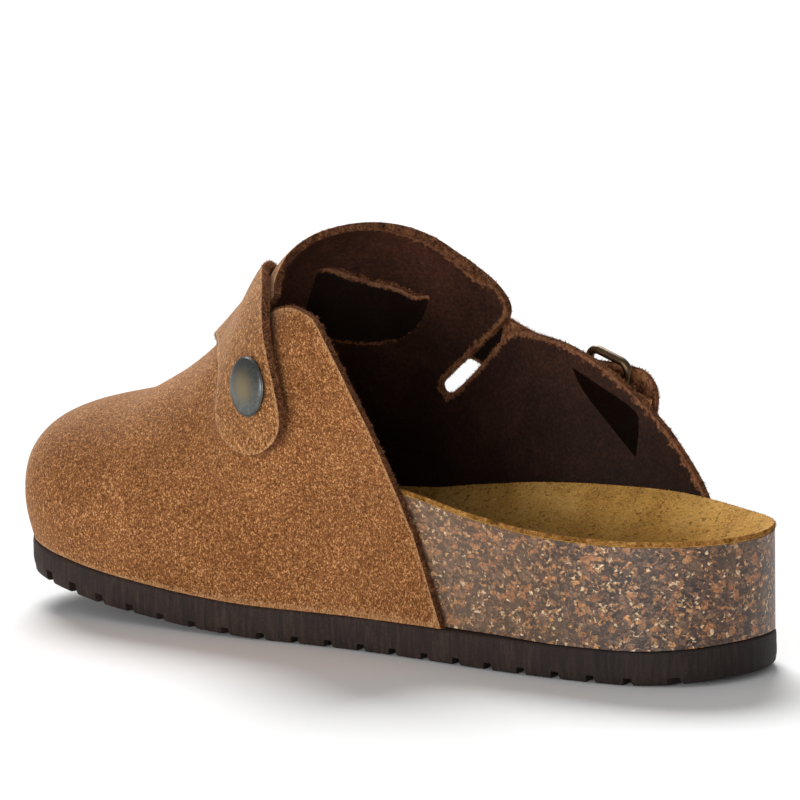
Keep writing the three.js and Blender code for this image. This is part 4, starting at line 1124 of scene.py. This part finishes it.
buckleMake = {"x": -0.1765 * shoe["length"], "v": -0.68, "from": (-0.149, -0.667), "to": (-0.204, -0.694),
              "half": strapMake["width"] * 0.323 + 2.2, "bar": 1.3, "span": 14.6, "lift": 4.1, "corner": 3.0,
              "tabWidth": 12.5, "tabThick": 1.2, "tabEnd": 18.6, "pin": 14.4, "prong": 1.0,
              "prongPast": 2.2, "prongRise": 1.35, "prongSink": 0.4, "eyeWire": 0.5, "eyeHalf": 1.3,
              "tabDrop": 0.2, "tabLap": 3.0, "slotHalf": 1.8, "slotPast": 4.2, "pinShank": 1.3,
              "pinTop": 2.95}


def makeBuckle():
    m, gap = buckleMake, shoe["gap"]
    ends = [faceAt(at * shoe["length"], v) for at, v in (m["from"], m["to"])]
    axes = axesAt(m["x"], m["v"], ends[1] - ends[0])
    rear, lift, bar = m["span"] / 2, m["lift"], m["bar"]
    path = []
    for sx, sy in ((1, 1), (-1, 1), (-1, -1), (1, -1)):
        start = math.atan2(sy, sx) - math.pi / 4
        for k in range(9):
            turn = start + k / 8 * math.pi / 2
            path.append(Vector((sx * (rear - m["corner"]) + m["corner"] * math.cos(turn),
                                sy * (m["half"] - m["corner"]) + m["corner"] * math.sin(turn), lift)))

    def framePlace(s, t):
        i = s % len(path)
        along = (path[(i + 1) % len(path)] - path[i - 1]).normalized()
        outward = along.cross(Vector((0, 0, 1)))
        turn = 2 * math.pi * t / 14
        return axes @ (path[i] + outward * (bar * math.cos(turn)) + Vector((0, 0, bar * math.sin(turn))))
    buckle = shapedGrid("buckleFrame", len(path), 14, framePlace, [brass])
    softShade(buckle, 60)
    finishPiece(buckle, "metal", "buckle_frame")

    eye = bar + gap
    start = Vector((rear - eye - m["prongSink"], 0, lift + m["prongSink"]))
    end = Vector((-rear - m["prongPast"], 0, lift + bar + gap + m["prongRise"]))
    armWay = (end - start).normalized()
    side = Vector((0, 1, 0))
    rise = armWay.cross(side)

    def armPlace(s, t):
        share = t / 12
        r = m["prong"] * (0, 0.75, 1, 1, 1, 1, 1, 1, 1, 0.97, 0.9, 0.7, 0)[t]
        turn = 2 * math.pi * s / 14
        return axes @ (start.lerp(end, share) + (side * math.cos(turn) + rise * math.sin(turn)) * r)
    arm = shapedGrid("buckleProng", 14, 12, armPlace, [brass])

    def eyePlace(s, t):
        turn, across = 2 * math.pi * s / 24, 2 * math.pi * t / 10
        r = eye + m["eyeWire"] * (1 + math.cos(across))
        return axes @ Vector((rear + r * math.cos(turn), m["eyeHalf"] * math.sin(across),
                              lift + r * math.sin(turn)))
    ring = shapedGrid("prongEye", 24, 10, eyePlace, [brass])
    activate(arm)
    ring.select_set(True)
    bpy.ops.object.join()
    softShade(arm, 50)
    finishPiece(arm, "metal", "buckle_prong")

    loopInner = eye + 0.1
    loopOuter = loopInner + m["tabThick"]
    low = lift - loopOuter
    outline = [(m["tabEnd"], low + m["tabDrop"]), (m["tabEnd"], low + m["tabDrop"] + m["tabThick"]),
               (rear + m["tabLap"], low + m["tabThick"])]
    turns = [lerp(-math.pi / 2, -math.pi * 2 + 0.35, k / 18) for k in range(19)]
    outline += [(rear + loopInner * math.cos(a), lift + loopInner * math.sin(a)) for a in turns]
    outline += [(rear + loopOuter * math.cos(a), lift + loopOuter * math.sin(a)) for a in reversed(turns)]
    half = m["tabWidth"] / 2

    def tabPlace(s, t):
        x, z = outline[s % len(outline)]
        return axes @ Vector((x, lerp(-half, half, t / 6), z))
    tab = shapedGrid("buckleTab", len(outline), 6, tabPlace, [strapSuede, inside, cutEdge])
    closeEnds(tab, 2)
    cutters = [
        slab("tabSlot", axes, (-2, rear + m["slotPast"]), (-m["slotHalf"], m["slotHalf"]), (-5, 12)),
        pinThrough("tabHole", axes @ Matrix.Translation((m["pin"], 0, 0)), 1.6),
    ]
    for cutter in cutters:
        cut(tab, cutter)
    softShade(tab, 40)
    finishPiece(tab, "strap_suede", "buckle_tab")

    # the rivet's inner end stays within the leather
    shank, top, low = m["pinShank"], m["pinTop"], -0.8 * shoe["wall"]
    rows = [(0, low), (shank, low), (shank, top), (3.3, top),
            (3.42, top + 0.15), (3.3, top + 0.5), (2.7, top + 0.8), (1.6, top + 0.98), (0, top + 1.05)]
    pin = turnedPiece("tabRivet", rows, axes @ Matrix.Translation((m["pin"], 0, 0)), 32, brass)
    finishPiece(pin, "metal", "tab_rivet")


def slab(name, axes, xs, ys, zs):
    # a straight-sided cutter in the axes of the buckle
    bpy.ops.object.select_all(action="DESELECT")
    bpy.ops.mesh.primitive_cube_add(size=2)
    made = bpy.context.object
    made.name = name
    for vertex in made.data.vertices:
        spot = [lerp(low, high, (c + 1) / 2) for c, (low, high) in zip(vertex.co, (xs, ys, zs))]
        vertex.co = place(axes @ Vector(spot))
    editMesh(made, faceOut)
    made.data.materials.append(cutEdge)
    return made


makeBuckle()
print("rivet and buckle made")

# bare dark patch on the inside of the outer quarter, glossy where it was pressed
# x and z of its two long edges
patchMake = {
    "front": [(-39.1, 77), (-43.1, 69.5), (-55.4, 57.2), (-60.9, 52.1)],
    "rear": [(-39.6, 76.8), (-60.3, 66.7), (-62.7, 61.8), (-61.2, 52.2)],
    "rows": 40, "across": 16, "thick": 0.12, "inward": 0.07,
}


def makePatch():
    front, rear = (roundedLine(patchMake[key], 10) for key in ("front", "rear"))
    last = len(front) - 1

    def insideAt(x, z):
        low, high = 0.3, 0.95
        for _ in range(20):
            middle = (low + high) / 2
            low, high = (low, middle) if faceAt(x, -middle).z < z else (middle, high)
        point, _, _, out = faceFrame(x, -low)
        return point - out * (shoe["wall"] + patchMake["inward"])

    def where(s, t):
        share = t / patchMake["rows"] * last
        k = min(int(share), last - 1)
        a = front[k].lerp(front[k + 1], share - k)
        b = rear[k].lerp(rear[k + 1], share - k)
        spot = a.lerp(b, s / patchMake["across"])
        return insideAt(spot.x, spot.y)
    patch = shapedGrid("pressedPatch", patchMake["across"], patchMake["rows"], where, [pressedLeather])
    applyModifier(patch, "SOLIDIFY", thickness=patchMake["thick"] * toMetres, offset=0)
    softShade(patch, 40)
    finishPiece(patch, "upper_suede")


makePatch()

# footbed and sole
footbed = {"stations": 120, "rows": 26, "sideRows": 12, "heelInset": -0.3, "wrapInner": -0.215,
           "wrapOuter": -0.405, "innerBlend": 0.12, "outerBlend": 0.075}


def rimAt(col):
    return rimOf["inner" if col.side > 0 else "outer"](shareAt(col.x))


def bankAt(col):
    return rimOf["innerBank" if col.side > 0 else "outerBank"](shareAt(col.x))


def insideUpper(col, z):
    low, high = 0.0, 1.0
    for _ in range(22):
        middle = (low + high) / 2
        low, high = (middle, high) if facePoint(col, middle).z < z else (low, middle)
    found = facePoint(col, low)
    return (Vector((found.x, found.y)) - col.spine).length - col.reach - (shoe["wall"] + shoe["gap"]) * 1.2


def corkGrow(col, z):
    start = (footbed["wrapInner"] if col.side > 0 else footbed["wrapOuter"]) * shoe["length"]
    blend = footbed["innerBlend"] if col.side > 0 else footbed["outerBlend"]
    wrap = smooth(start - blend * shoe["length"], start, col.x)
    inset = footbed["heelInset"]
    return inset if wrap == 0 else lerp(inset, min(inset, insideUpper(col, z)), wrap)


footColumns = [columnAt(i / (2 * footbed["stations"]), footbed["stations"])
               for i in range(2 * footbed["stations"])]
rimGrow = [corkGrow(col, rimAt(col) + shoe["lining"] + shoe["gap"]) for col in footColumns]


def footbedPoint(i, t, lift):
    col = footColumns[i]
    reach = col.reach + rimGrow[i]
    plan = col.spine + col.outward * (reach * (1 - t))
    floor = soleTop(plan.x) + sectionOf["floor"](shareAt(plan.x))
    bank = bankAt(col)
    part = clamp(1 - t * reach / bank)
    slope = 2 * part * (rimAt(col) - floor) / bank
    stretch = lerp(1, math.sqrt(1 + slope * slope), clamp(t * 12))
    return Vector((plan.x, plan.y, floor + (rimAt(col) - floor) * part * part + lift * stretch))


def makeFootbed():
    rows, side = footbed["rows"], footbed["sideRows"]
    count = len(footColumns)

    def corkPlace(s, t):
        i = s % count
        col = footColumns[i]
        bottom = soleTop(col.x) + shoe["gap"]
        if t == 0:
            return Vector((*col.spine, soleTop(col.spine.x) + shoe["gap"]))
        if t <= side:
            z = lerp(bottom, rimAt(col), (t - 1) / (side - 1))
            grow = rimGrow[i] if t == side else corkGrow(col, z)
            return Vector((*col.plan(1, grow), z))
        return footbedPoint(i, ((t - side) / rows) ** 1.5, 0)
    block = shapedGrid("corkFootbed", count, side + rows, corkPlace, [cork])
    softShade(block, 40)
    finishPiece(block, "cork", "cork_footbed")

    lift, thick = shoe["gap"], shoe["lining"]

    def liningPlace(s, t):
        # underside, a cut edge a little rounded at its top, then the brushed face
        i = s % count
        if t <= rows:
            return footbedPoint(i, (1 - t / rows) ** 1.5, lift)
        if t == rows + 1:
            return footbedPoint(i, 0, lift + thick * 0.45) + edgeShift(i, 0.12)
        if t == rows + 2:
            return footbedPoint(i, 0, lift + thick * 0.82) + edgeShift(i, 0.05)
        return footbedPoint(i, 0.006 + 0.994 * ((t - rows - 3) / rows) ** 1.5, lift + thick)

    def edgeShift(i, amount):
        col = footColumns[i]
        wave = noiseAt(Vector((col.x / 3, col.side * 7, 0)))
        return Vector((*(col.outward * (amount + 0.12 * wave)), 0))
    sheet = shapedGrid("liningSheet", count, 2 * rows + 3, liningPlace, [liningSuede, liningEdge],
                       lambda s, t: 1 if rows <= t <= rows + 2 else 0)
    softShade(sheet, 40)
    finishPiece(sheet, "lining", "insole_lining")
    edgeFibres("liningFibres", sheet, 1, liningHair, "lining", 1.2, 0.9, 0.55)
    print("footbed made", len(block.data.polygons), len(sheet.data.polygons))


makeFootbed()

outsole = {"pitch": shoe["length"] / 22, "grooveShare": 0.25, "depthShare": 0.22, "waveShare": 0.22,
           "rows": 9, "waveStep": ballW / 7, "bevel": shoe["soleThick"] * 0.11,
           "mouth": 1.5, "root": 0.82, "toeWider": 0.35, "toeDeeper": 0.7, "toeFrom": 0.7, "toeTo": 0.92}


def makeOutsole():
    count = len(footColumns)
    bevel = outsole["bevel"]
    # share of the way out, growth and height: from the underside up the side, and back over the top
    profile = [(0, 0, 0), (0.3, 0, 0), (0.6, 0, 0), (0.85, 0, 0),
               (1, -bevel, 0), (1, -bevel * 0.62, 0.22 * bevel),
               (1, -bevel * 0.25, bevel * 0.8), (1, 0, 3.0), (1, 0.06, 4.5), (1, 0, 6.0), (1, 0, -1.4),
               (1, -0.08, -0.5), (1, -0.45, -0.0001), (0.5, 0, -0.0001), (0, 0, -0.0001)]

    def solePlace(s, t):
        part, grow, height = profile[t]
        col = footColumns[s % count]
        if part == 1 and -1 < height < 6:
            grow += 0.12 * noiseAt(Vector((col.x / 6, col.side * 5, height / 2)))
        plan = col.plan(part, grow)
        z = underside(plan.x) + height if height >= 0 else soleTop(plan.x) + height
        return Vector((plan.x, plan.y, z))
    sole = shapedGrid("soleUnit", count, len(profile) - 1, solePlace, [rubber])
    pitch, rows = outsole["pitch"], outsole["rows"]
    width, depth, wave = (pitch * outsole["grooveShare"], shoe["soleThick"] * outsole["depthShare"],
                          pitch * outsole["waveShare"])
    grooves = []
    x = -shoe["length"] / 2 + pitch
    while x < shoe["length"] / 2 - pitch / 3:
        # deeper and wider under the toe
        middle, toe = x, smooth(outsole["toeFrom"], outsole["toeTo"], shareAt(x))

        def groovePlace(s, t):
            turn = t / 4 * 2 - (rows - 1)
            k = math.floor(turn / 2)
            share = turn / 2 - k
            ends = [wave / 2 if (j + (rows - 1) // 2) % 2 == 0 else -wave / 2 for j in (k, k + 1)]
            centre = middle + lerp(ends[0], ends[1], share)
            y = turn / 2 * outsole["waveStep"]
            mouth, root = outsole["mouth"], outsole["root"]
            side = (-mouth, mouth, root, -root)[s % 4] * (1 + outsole["toeWider"] * toe)
            at = centre + side * width / 2
            z = -3 if s % 4 < 2 else underside(at) + depth * (1 + outsole["toeDeeper"] * toe)
            return Vector((at, y, z))
        grooves.append(shapedGrid("groove", 4, (rows - 1) * 4, groovePlace, [rubber]))
        closeEnds(grooves[-1], 0)
        x += pitch
    activate(grooves[0])
    for groove in grooves[1:]:
        groove.select_set(True)
    bpy.ops.object.join()
    cut(sole, grooves[0])
    softShade(sole, 30)
    finishPiece(sole, "outsole", "outsole")
    return sole


sole = makeOutsole()
print("outsole made", len(sole.data.polygons))
